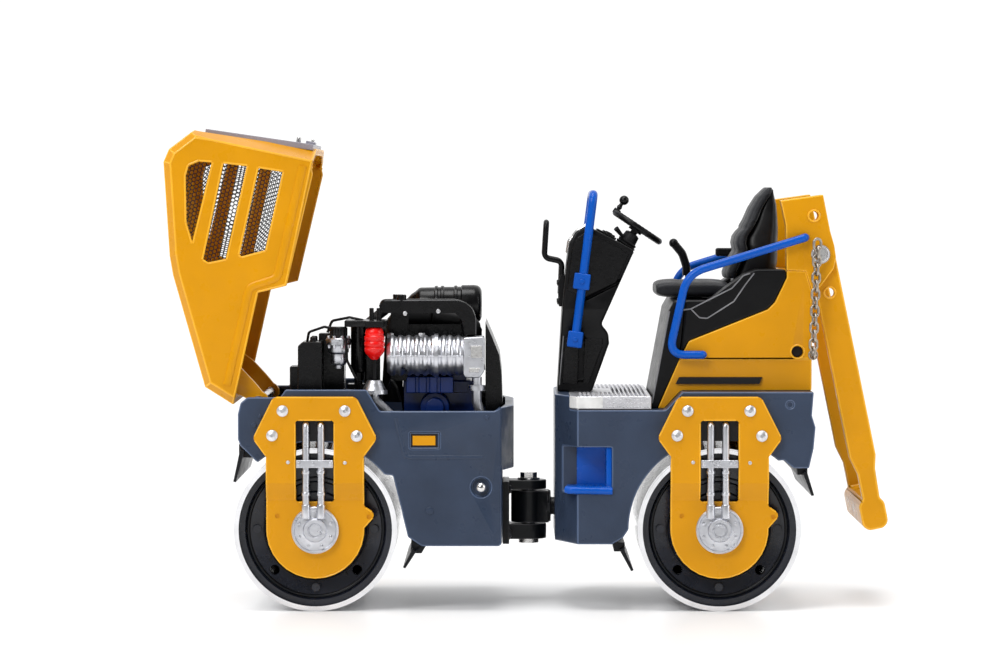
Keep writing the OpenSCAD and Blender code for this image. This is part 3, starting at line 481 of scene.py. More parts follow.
def tube(bm, path, radius, sides=16, closed=False, flat=1.0, up=(0, 1, 0)):
    """A tube along a path; radius may be a list, and flat squeezes the section along up.

    The path must not start along up, which is where the section's own direction comes from.
    """
    path = [Vector(p) for p in path]
    count = len(path)
    rings = []
    normal = Vector(up)
    for i, p in enumerate(path):
        ahead = path[(i + 1) % count] if closed or i < count - 1 else p
        behind = path[i - 1] if closed or i > 0 else p
        along = (ahead - behind).normalized()
        normal = (normal - along * normal.dot(along)).normalized()
        across = along.cross(normal)
        size = radius[i] if isinstance(radius, (list, tuple)) else radius
        rings.append([bm.verts.new(mm(*(p + size * (across * cos(a) + flat * normal * sin(a)))))
                      for a in turns(sides)])
    join_rings(bm, rings, closed)
    if not closed:
        bm.faces.new(rings[0])
        bm.faces.new(rings[-1][::-1])


def spun(bm, profile, at, axis, sides=40):
    """A lathe shape: profile holds (radius, height along the axis) pairs.

    A radius of 0 is one point, so the faces next to it are triangles.
    """
    at, axis = Vector(at), Vector(axis).normalized()
    side = axis.orthogonal().normalized()
    other = axis.cross(side)
    rings = []
    for r, h in profile:
        if r < 1e-6:
            rings.append([bm.verts.new(mm(*(at + axis * h)))])
        else:
            rings.append([bm.verts.new(mm(*(at + axis * h + r * (side * cos(a) + other * sin(a)))))
                          for a in turns(sides)])
    for first, second in zip(rings, rings[1:]):
        for k in range(sides):
            m = (k + 1) % sides
            face = [first[k % len(first)], first[m % len(first)],
                    second[m % len(second)], second[k % len(second)]]
            bm.faces.new(list(dict.fromkeys(face)))
    for ring in (rings[0], rings[-1]):
        if len(ring) > 1:
            bm.faces.new(ring)


def soft_rod(bm, a, b, r, edge=0.15, sides=32):
    """A round bar from a to b whose ends are rounded by edge; 6 sides make a hexagon head."""
    a, b = Vector(a), Vector(b)
    length = (b - a).length
    steps = 4
    end = [(r - edge + edge * sin(t), edge - edge * cos(t))
           for t in (pi / 2 * k / steps for k in range(steps + 1))]
    profile = [(0, 0)] + end + [(q, length - h) for q, h in reversed(end)] + [(0, length)]
    spun(bm, profile, a, b - a, sides)


def side_rod(bm, side, x, z, y_in, y_out, r, edge=0.15, sides=32):
    """A round bar across the machine on one side, between two distances from its middle."""
    soft_rod(bm, (x, side * y_in, z), (x, side * y_out, z), r, edge, sides)


def ring_path(at, radius, steps, start=0.0):
    """A circle of points round an axis along Y."""
    return [(at[0] + radius * cos(turn), at[1], at[2] + radius * sin(turn))
            for turn in turns(steps, start)]


def ball(bm, at, r):
    steps = 12
    profile = [(r * sin(pi * k / steps), -r * cos(pi * k / steps)) for k in range(steps + 1)]
    profile[0] = (0, -r)
    profile[-1] = (0, r)
    spun(bm, profile, at, (0, 0, 1), 24)


def piece(name, bm, material, body, slot, bevel=0, angle=ROUND_ABOVE, stands_for=()):
    """A piece made of a bmesh; bevel is in mm, and stands_for names the CAD nodes it replaces."""
    mesh = bpy.data.meshes.new(name)
    fill_mesh(mesh, bm, SMOOTH_BELOW)
    paint(mesh, material)
    made = add_mesh(name, mesh, body)
    if bevel:
        round_edges(made, bevel * MM, angle)
    if stands_for:
        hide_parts(*stands_for)
    return made


# ---------------- painted bodies

PLATES = ("front_plate_left", "front_plate_right", "rear_plate_left", "rear_plate_right")
ROUNDING = {
    "front_chassis": 0.30, "rear_chassis": 0.30, **dict.fromkeys(PLATES, 0), "rear_body": 0.30,
    "rops_posts": 0.25, "rops_hoop": 0.45, "hood_shell": 0, "hood_arms": 0.18,
    "seat_panel": 0.40, "seat_pedestal": 0.55, "console": 0.55, "side_steps": 0.14,
    "floor_plate": 0.22, "lever_gate": 0.30, "armrest": 0.45, "knuckle": 0.22,
    "steering_fork": 0.22, "engine_block": 0.22, "battery": 0.28, "filter_bracket": 0.15,
    "fan_shroud": 0.20, "dash_panel": 0.12, "front_scrapers": 0.08, "rear_scrapers": 0.08,
}
for name, width in ROUNDING.items():
    softened(name, width)

# ---------------- blue tubes and handle

RAIL_R = 0.9
low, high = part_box("side_rails")
rail_y = high.y / MM - RAIL_R
rail_root_y = rail_y - 1.4
rail_foot, rail_low, rail_high, rail_end = (38.4, 56.4), (30.9, 56.4), (34.9, 74.3), (61.0, 82.31)
bm = bmesh.new()
for side in SIDES:
    def at(p, y=rail_y):
        """A point of the rail on this side, from its X and Z."""
        return (p[0], side * y, p[1])

    lower = rounded([at(rail_foot), at(rail_low), at(rail_high)], 4.2, 10)
    upper = rounded([at(rail_low), at(rail_high), at(rail_end)], 7.0, 12)
    foot = rounded([at(rail_foot, rail_root_y), at(rail_foot), at(rail_low)], RAIL_R)
    end = rounded([at(rail_high), at(rail_end), at(rail_end, rail_root_y)], RAIL_R)
    tube(bm, foot[:-1] + lower[1:-1] + upper[1:-1] + end[1:], RAIL_R, 20, up=(0, 0, 1))
piece("side_rail_tubes", bm, blue, "rear_frame", "blue_paint", stands_for=("side_rails",))

low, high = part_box("console_guard")
GUARD_R = 0.98
guard_y = high.y / MM - 1.8
leg = [(10.3, 58.2), (14.5, 91.8)]
bm = bmesh.new()
path = [(x, -guard_y, z) for x, z in leg] + [(x, guard_y, z) for x, z in reversed(leg)]
tube(bm, rounded(path, 2.4, 10), GUARD_R, 20, up=(1, 0, 0))
piece("guard_tube", bm, blue, "rear_frame", "blue_paint", stands_for=("console_guard",))

# each bracket has a clamp round the tube and an arm inwards to the console
BRACKETS = ({"x": 10.4, "z": 59.3, "width": 3.4, "arm_from": 7.2},
            {"x": 11.9, "z": 72.3, "width": 3.7, "arm_from": 8.9})
BRACKET_HALF_Z, BRACKET_HALF_Y = 1.8, 1.1
GUARD_LEAN = radians(7)
bm = bmesh.new()
for side in SIDES:
    for bracket in BRACKETS:
        x, z, w, h = bracket["x"], bracket["z"], bracket["width"] / 2, BRACKET_HALF_Z
        corners = [(-w, -h), (w, -h), (w, h), (-w, h)]
        outline = [(x + a * cos(GUARD_LEAN) + b * sin(GUARD_LEAN),
                    z - a * sin(GUARD_LEAN) + b * cos(GUARD_LEAN)) for a, b in corners]
        prism(bm, outline, side * guard_y - BRACKET_HALF_Y, side * guard_y + BRACKET_HALF_Y)
        side_block(bm, side, (x - 0.9, bracket["arm_from"], z - 1.2), (x + 0.9, guard_y - 1, z + 0.7))
piece("guard_brackets", bm, blue, "rear_frame", "blue_paint", bevel=0.3)
bm = bmesh.new()
for side in SIDES:
    for bracket in BRACKETS:
        side_rod(bm, side, bracket["x"], bracket["z"], guard_y + 1.0, guard_y + 1.35, 0.55, 0.12)
piece("guard_screws", bm, blue, "rear_frame", "blue_paint")

handle_y = 6.0
bm = bmesh.new()
leg = [(7.2, 69.2), (7.5, 76.7), (3.5, 77.5), (4.0, 85.5)]
path = [(x, -handle_y, z) for x, z in leg] + [(x, handle_y, z) for x, z in reversed(leg)]
tube(bm, rounded(path, 1.5, 8), 0.62, 18, up=(1, 0, 0))
piece("front_handle_bar", bm, black_plastic, "rear_frame", "dark_grey", stands_for=("front_handle",))
bm = bmesh.new()
for side in SIDES:
    y0, y1 = side * handle_y - 0.9, side * handle_y + 0.9
    prism(bm, [(6.75, 66.6), (7.6, 66.6), (8.2, 73.6), (7.3, 73.9), (6.7, 72.2)], y0, y1)
    for z in (67.6, 71.8):
        soft_rod(bm, (6.4, side * handle_y, z), (6.9, side * handle_y, z), 0.55, 0.15, 20)
piece("front_handle_brackets", bm, black_plastic, "rear_frame", "dark_grey", bevel=0.18)

# ---------------- hood mesh, bead and catch pins

hood_joint = next(j for j in frame["joints"] if j["name"] == "hood_tip")
hinge = Vector(hood_joint["pos_m"]) / MM
HOOD_OPEN = radians(78)


def opened(x, y, z):
    """A point of the shut hood, where it stands with the hood open."""
    dx, dz = x - hinge.x, z - hinge.z
    return (hinge.x + dx * cos(HOOD_OPEN) - dz * sin(HOOD_OPEN), y,
            hinge.z + dx * sin(HOOD_OPEN) + dz * cos(HOOD_OPEN))


HOOD_HALF = 26.0
WINDOWS = [
    [(-10.6, 69.9), (-10.2, 66.9), (-28.6, 67.5), (-24.4, 69.8), (-14.3, 72.1), (-12, 71.9)],
    [(-9.9, 64.5), (-9.4, 59.2), (-30.5, 59.5), (-32.1, 63.2), (-31.6, 64.5)],
    [(-9.3, 56.7), (-9.0, 51.2), (-26.8, 51.4), (-29.3, 56.3), (-28.9, 56.9)],
]


def inside(point, outline, margin):
    """Whether a point lies in a convex outline grown by a margin."""
    area = sum(a[0] * b[1] - b[0] * a[1] for a, b in zip(outline, outline[1:] + outline[:1]))
    for a, b in zip(outline, outline[1:] + outline[:1]):
        edge = Vector((b[0] - a[0], b[1] - a[1]))
        out = Vector((edge.y, -edge.x)).normalized() * copysign(1, area)
        if (point[0] - a[0]) * out.x + (point[1] - a[1]) * out.y > margin:
            return False
    return True


# the mesh is a sheet of hexagon frames, each with a hexagon hole
MESH_PITCH = 0.92
MESH_ROW = MESH_PITCH * 0.866
HOLE_SHARE = 0.80
MESH_OVER = 0.35
HOOD_MESH_Y = (HOOD_HALF - 0.55, HOOD_HALF - 0.8)
bm = bmesh.new()
for side in SIDES:
    outer_y, inner_y = [side * y for y in HOOD_MESH_Y]
    for outline in WINDOWS:
        xs, zs = [p[0] for p in outline], [p[1] for p in outline]
        rows = int((max(zs) - min(zs)) / MESH_ROW) + 2
        cols = int((max(xs) - min(xs)) / MESH_PITCH) + 2
        for row in range(-1, rows):
            for col in range(-1, cols):
                cx = min(xs) + (col + 0.5 * (row % 2)) * MESH_PITCH
                cz = min(zs) + row * MESH_ROW
                if not inside((cx, cz), outline, MESH_OVER):
                    continue
                rings = []
                for share, y in ((1, outer_y), (HOLE_SHARE, outer_y), (HOLE_SHARE, inner_y),
                                 (1, inner_y)):
                    r = MESH_PITCH / sqrt(3) * share
                    rings.append([bm.verts.new(mm(*opened(cx + r * sin(a), y, cz + r * cos(a))))
                                  for a in turns(6)])
                join_rings(bm, rings)
piece("hood_mesh", bm, black_metal, "hood", "black_mesh", stands_for=("hood_grilles",))

# pressed bead inside the hood's stepped lower edge
bm = bmesh.new()
bead = [(-57.6, 53.6), (-35.4, 53.2), (-32.2, 47.6), (-6.9, 47.2)]
for side in SIDES:
    path = [opened(x, side * (HOOD_HALF + 0.02), z) for x, z in bead]
    tube(bm, rounded(path, 2.4, 8), 0.9, 16, flat=0.32)
piece("hood_bead", bm, yellow, "hood", "yellow_paint")

# two catch pins on the hood's rear panel
bm = bmesh.new()
for x, z, r in ((-1.4, 50.6, 0.55), (-1.2, 47.4, 0.4)):
    soft_rod(bm, opened(x - 1.2, 0, z), opened(x + 0.6, 0, z), r, 0.2, 20)
piece("hood_catch_pins", bm, bright_steel, "hood", "bright_steel")

# ---------------- drum supports

joint_at = {j["name"]: Vector(j["pos_m"]) / MM for j in frame["joints"]}
AXLES = {"front_frame": joint_at["front_drum_roll"], "rear_frame": joint_at["rear_drum_roll"]}
low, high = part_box("front_chassis")
FRAME_Y = high.y / MM
low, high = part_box("front_plate_left")
PLATE_Y = -low.y / MM
DRUM_END_Y = 20.9
HUB_BOLT_R = 3.85
PIPE_X = (-2.0, 1.3)
PIPE_TOP = 23.1
CLAMP_Z = 14.65
PIPE_Y = FRAME_Y + 1.15
HUB = [(0, 1.75), (1.2, 1.75), (1.35, 1.6), (1.5, 1.6), (1.65, 1.8), (2.4, 1.8), (2.6, 1.6),
       (2.7, 1.15), (3.3, 1.05), (4.5, 1.05), (4.7, 1.3), (5.0, 1.3), (5.2, 1.1), (5.2, 0)]

for body, axle in AXLES.items():
    end = body.removesuffix("_frame")
    hubs, pipes, rivets, shade_sheets = bmesh.new(), bmesh.new(), bmesh.new(), bmesh.new()
    for side in SIDES:
        spun(hubs, HUB, (axle.x, side * FRAME_Y, axle.z), (0, side, 0), 64)
        side_rod(hubs, side, axle.x, axle.z, FRAME_Y + 0.5, DRUM_END_Y, 4)
        for x, _, z in ring_path(axle, HUB_BOLT_R, 8, 22.5):
            side_rod(hubs, side, x, z, FRAME_Y + 0.9, FRAME_Y + 1.5, 0.42, 0.1, 6)
        for x in PIPE_X:
            px = axle.x + x
            soft_rod(hubs, (px, side * PIPE_Y, axle.z + 2.6), (px, side * PIPE_Y, axle.z + 5.7),
                     1.0, 0.2, 24)
            path = [(px, side * PIPE_Y, axle.z + 5.0), (px, side * PIPE_Y, axle.z + PIPE_TOP),
                    (px, side * (FRAME_Y + 0.1), axle.z + PIPE_TOP)]
            tube(pipes, rounded(path, 1.0, 8), 0.78, 18, up=(1, 0, 0))
            for z in (7.6, 12.4):
                soft_rod(pipes, (px, side * PIPE_Y, axle.z + z), (px, side * PIPE_Y, axle.z + z + 0.8),
                         0.95, 0.15, 24)
        side_block(pipes, side, (axle.x - 4.1, FRAME_Y + 0.2, axle.z + CLAMP_Z - 0.85),
                   (axle.x + 4.0, PIPE_Y + 0.95, axle.z + CLAMP_Z + 0.85))
        for x in (-3.5, -0.35, 3.4):
            side_rod(pipes, side, axle.x + x, axle.z + CLAMP_Z, PIPE_Y, PIPE_Y + 1.3, 0.42, 0.15, 16)
        for x, z in ((-5.9, 15.0), (6.6, 14.9)):
            side_rod(rivets, side, axle.x + x, axle.z + z, PLATE_Y - 0.1, PLATE_Y + 0.2, 0.42, 0.18, 20)
        # a black sheet on the frame behind each plate window: painted shade in the window
        side_block(shade_sheets, side, (axle.x - 4.5, FRAME_Y - 0.1, axle.z + 19.6),
                   (axle.x + 4.4, FRAME_Y + 0.05, axle.z + 24.4))
    piece(end + "_hub_castings", hubs, cast_silver, body, "cast_silver",
          stands_for=(end + "_hub_motors",))
    piece(end + "_pipe_run", pipes, cast_silver, body, "cast_silver", bevel=0.12, angle=50,
          stands_for=(end + "_pipes",))
    piece(end + "_plate_rivets", rivets, bolt_steel, body, "bright_steel")
    piece(end + "_window_shade", shade_sheets, decal_and_shade_black, body, "black_metal")
    nodes[end + "_plate_bolts"].data.materials[0] = bolt_steel

# ---------------- chassis, deck and steps

def plan_prism(bm, outline, z0, z1):
    """A plan outline of X and Y points between two heights."""
    between(bm, [(x, y, z0) for x, y in outline], [(x, y, z1) for x, y in outline])


def tread_bar(bm, centre, other, up, mirrored, length=0.95, width=0.36, height=0.14):
    """One raised bar of a tread plate, at 45 degrees between X and the other direction."""
    lean = radians(45 if mirrored else -45)
    c, u, v, n = Vector(centre), Vector((1, 0, 0)), Vector(other), Vector(up)
    along, across = u * cos(lean) + v * sin(lean), v * cos(lean) - u * sin(lean)
    foot = [c - along * length / 2, c - across * width / 2, c + along * length / 2,
            c + across * width / 2]
    ridge = [c - along * length / 4 + n * height, c + along * length / 4 + n * height]
    a, b, d, e, f, g = [bm.verts.new(mm(*p)) for p in foot + ridge]
    for face in ((a, b, f), (b, g, f), (b, d, g), (d, e, g), (e, f, g), (e, a, f)):
        bm.faces.new(face)


bm = bmesh.new()
for side in SIDES:
    y = side * FRAME_Y
    ridge = [(-29.4, y, 42.6), (-27.3, y, 34.0), (-10.1, y, 34.0)]
    tube(bm, rounded(ridge, 1.2, 6), 0.42, 14, flat=0.4)
    for x, z, r in ((-9.3, 42.8, 0.55), (-60.5, 41.1, 0.6), (-59.2, 43.0, 0.5), (-21.9, 22.2, 0.9)):
        side_rod(bm, side, x, z, FRAME_Y - 0.2, FRAME_Y + 0.22, r, 0.2, 20)
piece("chassis_pressings", bm, slate, "front_frame", "slate_paint")

# a plain label with nothing written on it: a black plate and the yellow field on it
for name, margin, proud, material, slot in (
        ("plain_label", 0, 0.02, decal_and_shade_black, "black_plastic"),
        ("plain_label_field", 0.45, 0.06, yellow, "yellow_paint")):
    bm = bmesh.new()
    for side in SIDES:
        side_block(bm, side, (-26.1 + margin, FRAME_Y - 0.3, 36.2 + margin),
                   (-20.2 - margin, FRAME_Y - 0.25 + proud, 39.2 - margin))
    piece(name, bm, material, "front_frame", slot)

low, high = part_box("floor_plate")
deck = Vector(high) / MM
DECK_FROM, DECK_ROW, DECK_BARS, DECK_GAP = 11.4, 0.95, 50, 1.12
CONSOLE_END, CONSOLE_HALF = 18.8, 9.6
bm = bmesh.new()
row = 0
x = DECK_FROM
while x < deck.x - 0.6:
    for k in range(DECK_BARS):
        y = (k - (DECK_BARS - 1) / 2) * DECK_GAP
        if x > CONSOLE_END or abs(y) > CONSOLE_HALF:
            tread_bar(bm, (x, y, deck.z), (0, 1, 0), (0, 0, 1), (k + row) % 2)
    x += DECK_ROW
    row += 1
for side in SIDES:
    for k in range(13):
        for row in range(3):
            tread_bar(bm, (17.0 + k * 0.76, side * deck.y, 45.1 + row * 0.8), (0, 0, 1), (0, side, 0),
                      (k + row) % 2, 0.7, 0.3, 0.1)
piece("deck_tread", bm, tread_metal, "rear_frame", "tread_plate")
# a white strip along the deck's edge: a painted reflection on the tread plate's edge
bm = bmesh.new()
for side in SIDES:
    outline = [(9.1, 24.5), (10.62, 28.35), (16.2, 28.35), (16.2, 28.74), (10.4, 28.74), (8.9, 24.9)]
    plan_prism(bm, [(x, side * y) for x, y in outline], 44.75, 47.3)
piece("deck_edge_reflection", bm, reflection_white, "rear_frame", "tread_plate", bevel=0.08)

bm = bmesh.new()
for side in SIDES:
    path = [(8.1, side * 28.6, 26.9), (9.4, side * 29.3, 26.8), (18.3, side * 29.3, 26.6)]
    tube(bm, rounded(path, 0.8, 6), 0.78, 18)
    for i in range(6):
        for k in range(5):
            tread_bar(bm, (11.2 + i * 1.05, side * (22.8 + k * 1.1), 27.5), (0, 1, 0), (0, 0, 1),
                      (i + k) % 2)
piece("step_lips", bm, blue, "rear_frame", "blue_paint")

# ---------------- console and steering wheel

UPPER_PANEL = [(8.6, 70.4), (9.7, 79.6), (10.9, 82.2), (13.1, 83.6), (20.8, 79.7), (22.4, 78.4),
               (19.6, 72.0), (12.6, 68.8)]
LOWER_PANEL = [(7.5, 49.2), (8.1, 59.4), (11.4, 59.4), (11.0, 49.2)]
KNEE_PANEL = [(12.2, 49.4), (12.5, 59.4), (16.6, 59.4), (16.7, 57.9), (13.5, 49.4)]
bm = bmesh.new()
for side in SIDES:
    for outline, face_y in ((UPPER_PANEL, 9.0), (LOWER_PANEL, 7.2), (KNEE_PANEL, 7.2)):
        side_prism(bm, outline, side, face_y - 0.2, face_y + 0.28)
piece("console_panels", bm, black_gloss, "rear_frame", "black_plastic", bevel=0.22)
# a thin grey line down each console front: a painted highlight on its front edge
bm = bmesh.new()
for side in SIDES:
    tube(bm, [(6.9, side * 7.35, 49.0), (7.8, side * 7.35, 60.0)], 0.13, 10)
piece("console_front_highlights", bm, seam_and_highlight_grey, "rear_frame", "black_plastic")
bm = bmesh.new()
for side in SIDES:
    catch = [(8.7, side * 6.5, 78.6), (9.1, side * 6.5, 81.2), (11.0, side * 6.5, 83.6),
             (13.0, side * 6.5, 84.9)]
    tube(bm, rounded(catch, 1.6, 6), 0.3, 12)
piece("console_catches", bm, bright_steel, "rear_frame", "bright_steel")

wheel_at = joint_at["wheel_turn"]
column = Vector(next(j["axis"] for j in frame["joints"] if j["name"] == "wheel_turn")).normalized()
wheel_u = Vector((column.z, 0, -column.x))
wheel_v = Vector((0, 1, 0))
WHEEL_R = 5.85


def on_wheel(radius, turn, height=0.0):
    """A point of the steering wheel, with height measured along the column."""
    return wheel_at + column * height + radius * (wheel_u * cos(turn) + wheel_v * sin(turn))


bm = bmesh.new()
rim = [on_wheel(WHEEL_R, turn) for turn in turns(72)]
grip = [0.70 + 0.03 * cos(pi * k) for k in range(len(rim))]
tube(bm, rim, grip, 18, closed=True, up=column)
spun(bm, [(0, 0.75), (0.8, 0.7), (1.45, 0.35), (1.65, -0.2), (1.6, -1.2), (0, -1.2)], wheel_at,
     column, 40)
for turn in turns(3, 90):
    spoke = [on_wheel(1.2, turn, -0.3), on_wheel(3.2, turn, -0.35), on_wheel(WHEEL_R - 0.3, turn)]
    tube(bm, rounded(spoke, 2, 6), 0.55, 14, flat=0.55, up=column)
spun(bm, [(0.85, -0.2), (0.85, 0.8), (0.7, 1.0), (0, 1.0)], on_wheel(WHEEL_R, pi), column, 24)
piece("wheel_rim", bm, black_plastic, "steering_wheel", "black_plastic", stands_for=("steering_wheel",))
bm = bmesh.new()
stem = [(0, -0.1), (0.42, -0.1), (0.42, 1.1), (0.55, 1.2), (0.62, 1.6), (0.45, 2.0), (0.4, 2.6)]
ball_part = [(1.1 * sin(t), 3.4 - 1.1 * cos(t)) for t in (pi * k / 12 for k in range(2, 13))]
spun(bm, stem + ball_part[:-1] + [(0, 4.5)], on_wheel(WHEEL_R, pi), column, 28)
piece("knob_ball", bm, black_gloss, "spinner_knob", "black_gloss", stands_for=("spinner_knob",))
bm = bmesh.new()
bellows = [(0, -5.9), (2.5, -5.8), (2.6, -5.3), (2.2, -5.1), (2.45, -4.7), (2.1, -4.4), (2.3, -4.0),
           (1.9, -3.7), (1.7, -2.0), (1.3, -1.75), (0.8, -1.65), (0.8, -0.7), (0, -0.7)]
spun(bm, bellows, wheel_at, column, 40)
stalk = wheel_at + column * -3.4
tube(bm, [stalk, stalk + Vector((-1.6, -1.4, 0.9)), stalk + Vector((-3.0, -2.4, 2.6))],
     [0.35, 0.4, 0.6], 14)
piece("column_bellows", bm, rubber, "rear_frame", "black_plastic", stands_for=("steering_column",))

# ---------------- hood edges and rear panel

SHORTEST_BEAD = 0.6 * MM
BEAD_SUNK = 0.75


def edge_beads(name, radius, least_angle):
    """A round bead let into every outer corner of a CAD node; angles are in degrees."""
    source = joined_copy(nodes[name].data)
    made = bmesh.new()
    for edge in source.edges:
        if len(edge.link_faces) != 2 or not edge.is_convex:
            continue
        if edge.calc_face_angle(0) < radians(least_angle) or edge.calc_length() < SHORTEST_BEAD:
            continue
        inward = -(edge.link_faces[0].normal + edge.link_faces[1].normal).normalized()
        a, b = [v.co / MM + inward * radius * BEAD_SUNK for v in edge.verts]
        across = (b - a).normalized().orthogonal().normalized()
        tube(made, [a, b], radius, 10, up=across)
    source.free()
    return made


# the beads are in the lighter yellow: a painted highlight along the corners of the hood and the plates
piece("hood_highlight_beads", edge_beads("hood_shell", 0.26, 20), yellow_highlight, "hood", "yellow_paint")
for name in PLATES:
    piece(name + "_beads", edge_beads(name, 0.17, 35), yellow_highlight, body_of[name], "yellow_paint")
bm = bmesh.new()
panel = [(-4.5, 70.2), (-3.3, 70.3), (-1.75, 46.2), (-3.1, 46.0)]
handle = [(-2.6, 48.8), (-1.2, 48.8), (-1.2, 46.6), (-2.6, 46.6)]
for outline, half_y in ((panel, 19.5), (handle, 2.4)):
    stood = [opened(x, 0, z) for x, z in outline]
    prism(bm, [(p[0], p[2]) for p in stood], -half_y, half_y)
piece("hood_back_panel", bm, FINISH["grey_panel"], "hood", "grey_panel", bevel=0.15,
      stands_for=("hood_rear_panel",))

# ---------------- seat

def eased(table, z):
    """A value read from rising (z, value) pairs."""
    for (z0, a), (z1, b) in zip(table, table[1:]):
        if z <= z1:
            return a + (b - a) * max(0.0, (z - z0) / (z1 - z0))
    return table[-1][1]


def signed_power(value, power):
    """A power that keeps the sign; below 1 it squares off a round section."""
    return copysign(abs(value) ** power, value)


def groove(away, width):
    """How deep a stitched seam is at a distance from its line, as a share of its full depth."""
    return exp(-(away / width) ** 2)


SEAM_Y, SEAM_X = 6.5, 34.0
CUSHION_X, CUSHION_Z, HALF_X, HALF_Y, HALF_Z = 36.65, 70.55, 8.3, 11.7, 2.1
bm = bmesh.new()
rings = []
SECTIONS = 90
for i in range(SECTIONS + 1):
    t = -1 + 2 * i / SECTIONS
    y = HALF_Y * sin(pi / 2 * t)
    share = max(0.0, 1 - abs(y / HALF_Y) ** 5) ** 0.2
    seam = groove(abs(y) - SEAM_Y, 0.32)
    ring = []
    for turn in turns(96):
        u, v = signed_power(cos(turn), 0.42), signed_power(sin(turn), 0.5)
        x = CUSHION_X + u * HALF_X * (0.93 + 0.07 * share)
        crown = 0.25 * cos(pi / 2 * y / HALF_Y) if v > 0 else 0
        z = CUSHION_Z + v * (HALF_Z * share - 0.2 + crown)
        if v > 0:
            z -= 0.3 * seam + 0.22 * groove(x - SEAM_X, 0.32)
        ring.append(bm.verts.new(mm(x, y, z)))
    rings.append(ring)
closed_stack(bm, rings)
cushion = piece("cushion_pad", bm, seat_vinyl, "rear_frame", "seat_vinyl",
                stands_for=("seat_cushion",))

BACK_FRONT = [(73.0, 43.7), (74.3, 43.8), (76.8, 44.8), (79.2, 46.2), (80.9, 45.8), (82.4, 46.1),
              (84.1, 47.3), (86.2, 48.5), (88.8, 49.6), (91.4, 51.2), (93.5, 53.2)]
BACK_REAR = [(69.0, 54.2), (76.4, 56.0), (84.5, 56.2), (89.4, 55.9), (93.2, 55.0)]
BACK_SEAM_Z = 84.2
PAD_HALF = [(73.0, 10.6), (80.0, 10.8), (84.0, 9.6), (88.0, 8.2), (93.4, 7.0)]


def loft_back(bm, low_z, high_z, front, rear, half, power, seams):
    """The seat back's forms: a rounded section at every height, closed softly at both ends.

    front, rear and half give the section's two X limits and half its width at a height.
    """
    sections = 84
    rings = []
    for i in range(sections + 1):
        t = -1 + 2 * i / sections
        z = (low_z + high_z) / 2 + (high_z - low_z) / 2 * sin(pi / 2 * t)
        share = max(0.0, 1 - abs((2 * z - low_z - high_z) / (high_z - low_z)) ** 8) ** 0.2
        x0, x1, w = front(z), rear(z), half(z)
        mid, deep = (x0 + x1) / 2, (x1 - x0) / 2 * (0.25 + 0.75 * share)
        ring = []
        for turn in turns(84):
            u, v = signed_power(cos(turn), power), signed_power(sin(turn), power)
            y = w * v * (0.85 + 0.15 * share)
            x = mid + deep * u
            if u < 0 and seams:
                x += 0.3 * groove(abs(y) - w * 0.68, 0.35)
                x += 0.3 * groove(z - BACK_SEAM_Z, 0.35)
                x -= 0.25 * (1 - (y / w) ** 2)
            ring.append(bm.verts.new(mm(x, y, z)))
        rings.append(ring)
    closed_stack(bm, rings)


bm = bmesh.new()
loft_back(bm, 73.0, 93.4, lambda z: eased(BACK_FRONT, z) + 0.2,
          lambda z: min(eased(BACK_FRONT, z) + 3.4, eased(BACK_REAR, z) + 0.1),
          lambda z: eased(PAD_HALF, z), 0.6, True)
pad = piece("back_pad", bm, seat_vinyl, "rear_frame", "seat_vinyl", stands_for=("seat_back",))
bm = bmesh.new()
loft_back(bm, 69.0, 92.9, lambda z: eased(BACK_FRONT, max(z, 73.0)) + 2.2,
          lambda z: eased(BACK_REAR, z), lambda z: eased(PAD_HALF, z) - 0.45, 0.5, False)
piece("back_shell", bm, black_plastic, "rear_frame", "seat_vinyl")
bm = bmesh.new()
for side in SIDES:
    line = [(eased(BACK_FRONT, z) + 2.6, side * (eased(PAD_HALF, z) - 0.02), z)
            for z in (74.5 + 0.75 * k for k in range(24))]
    tube(bm, line, 0.2, 10)
piece("back_piping", bm, black_gloss, "rear_frame", "seat_vinyl")

# ---------------- piping, stripe and rings

low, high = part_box("seat_pedestal")
ped_y = high.y / MM
bm = bmesh.new()
for side in SIDES:
    y = side * ped_y
    upper = [(34.1, y, 66.25), (35.8, y, 66.5), (44.9, y, 71.1), (47.4, y, 73.85), (48.9, y, 74.4)]
    lower = [(35.8, y, 66.5), (37.7, y, 64.55), (39.4, y, 64.4), (45.3, y, 68.15),
             (47.9, y, 71.95), (49.8, y, 74.4)]
    for line in (upper, lower):
        tube(bm, rounded(line, 0.8, 5), 0.15, 8)
    tube(bm, [(27.3, side * 22.2, 45.6), (31.1, side * 22.2, 66.0)], 0.18, 8)
piece("pedestal_piping", bm, seam_and_highlight_grey, "rear_frame", "black_plastic")
bm = bmesh.new()
for side in SIDES:
    side_prism(bm, [(32.4, 49.9), (51.0, 49.9), (51.6, 51.4), (33.2, 51.4)], side, 22.2, 22.86)
    # a black disc on the floor of the round recess: painted shade in the recess
    side_rod(bm, side, 59.4, 57.0, 21.2, 21.6, 1.2, 0.1)
piece("body_stripe_and_recess_shade", bm, decal_and_shade_black, "rear_frame", "black_plastic")

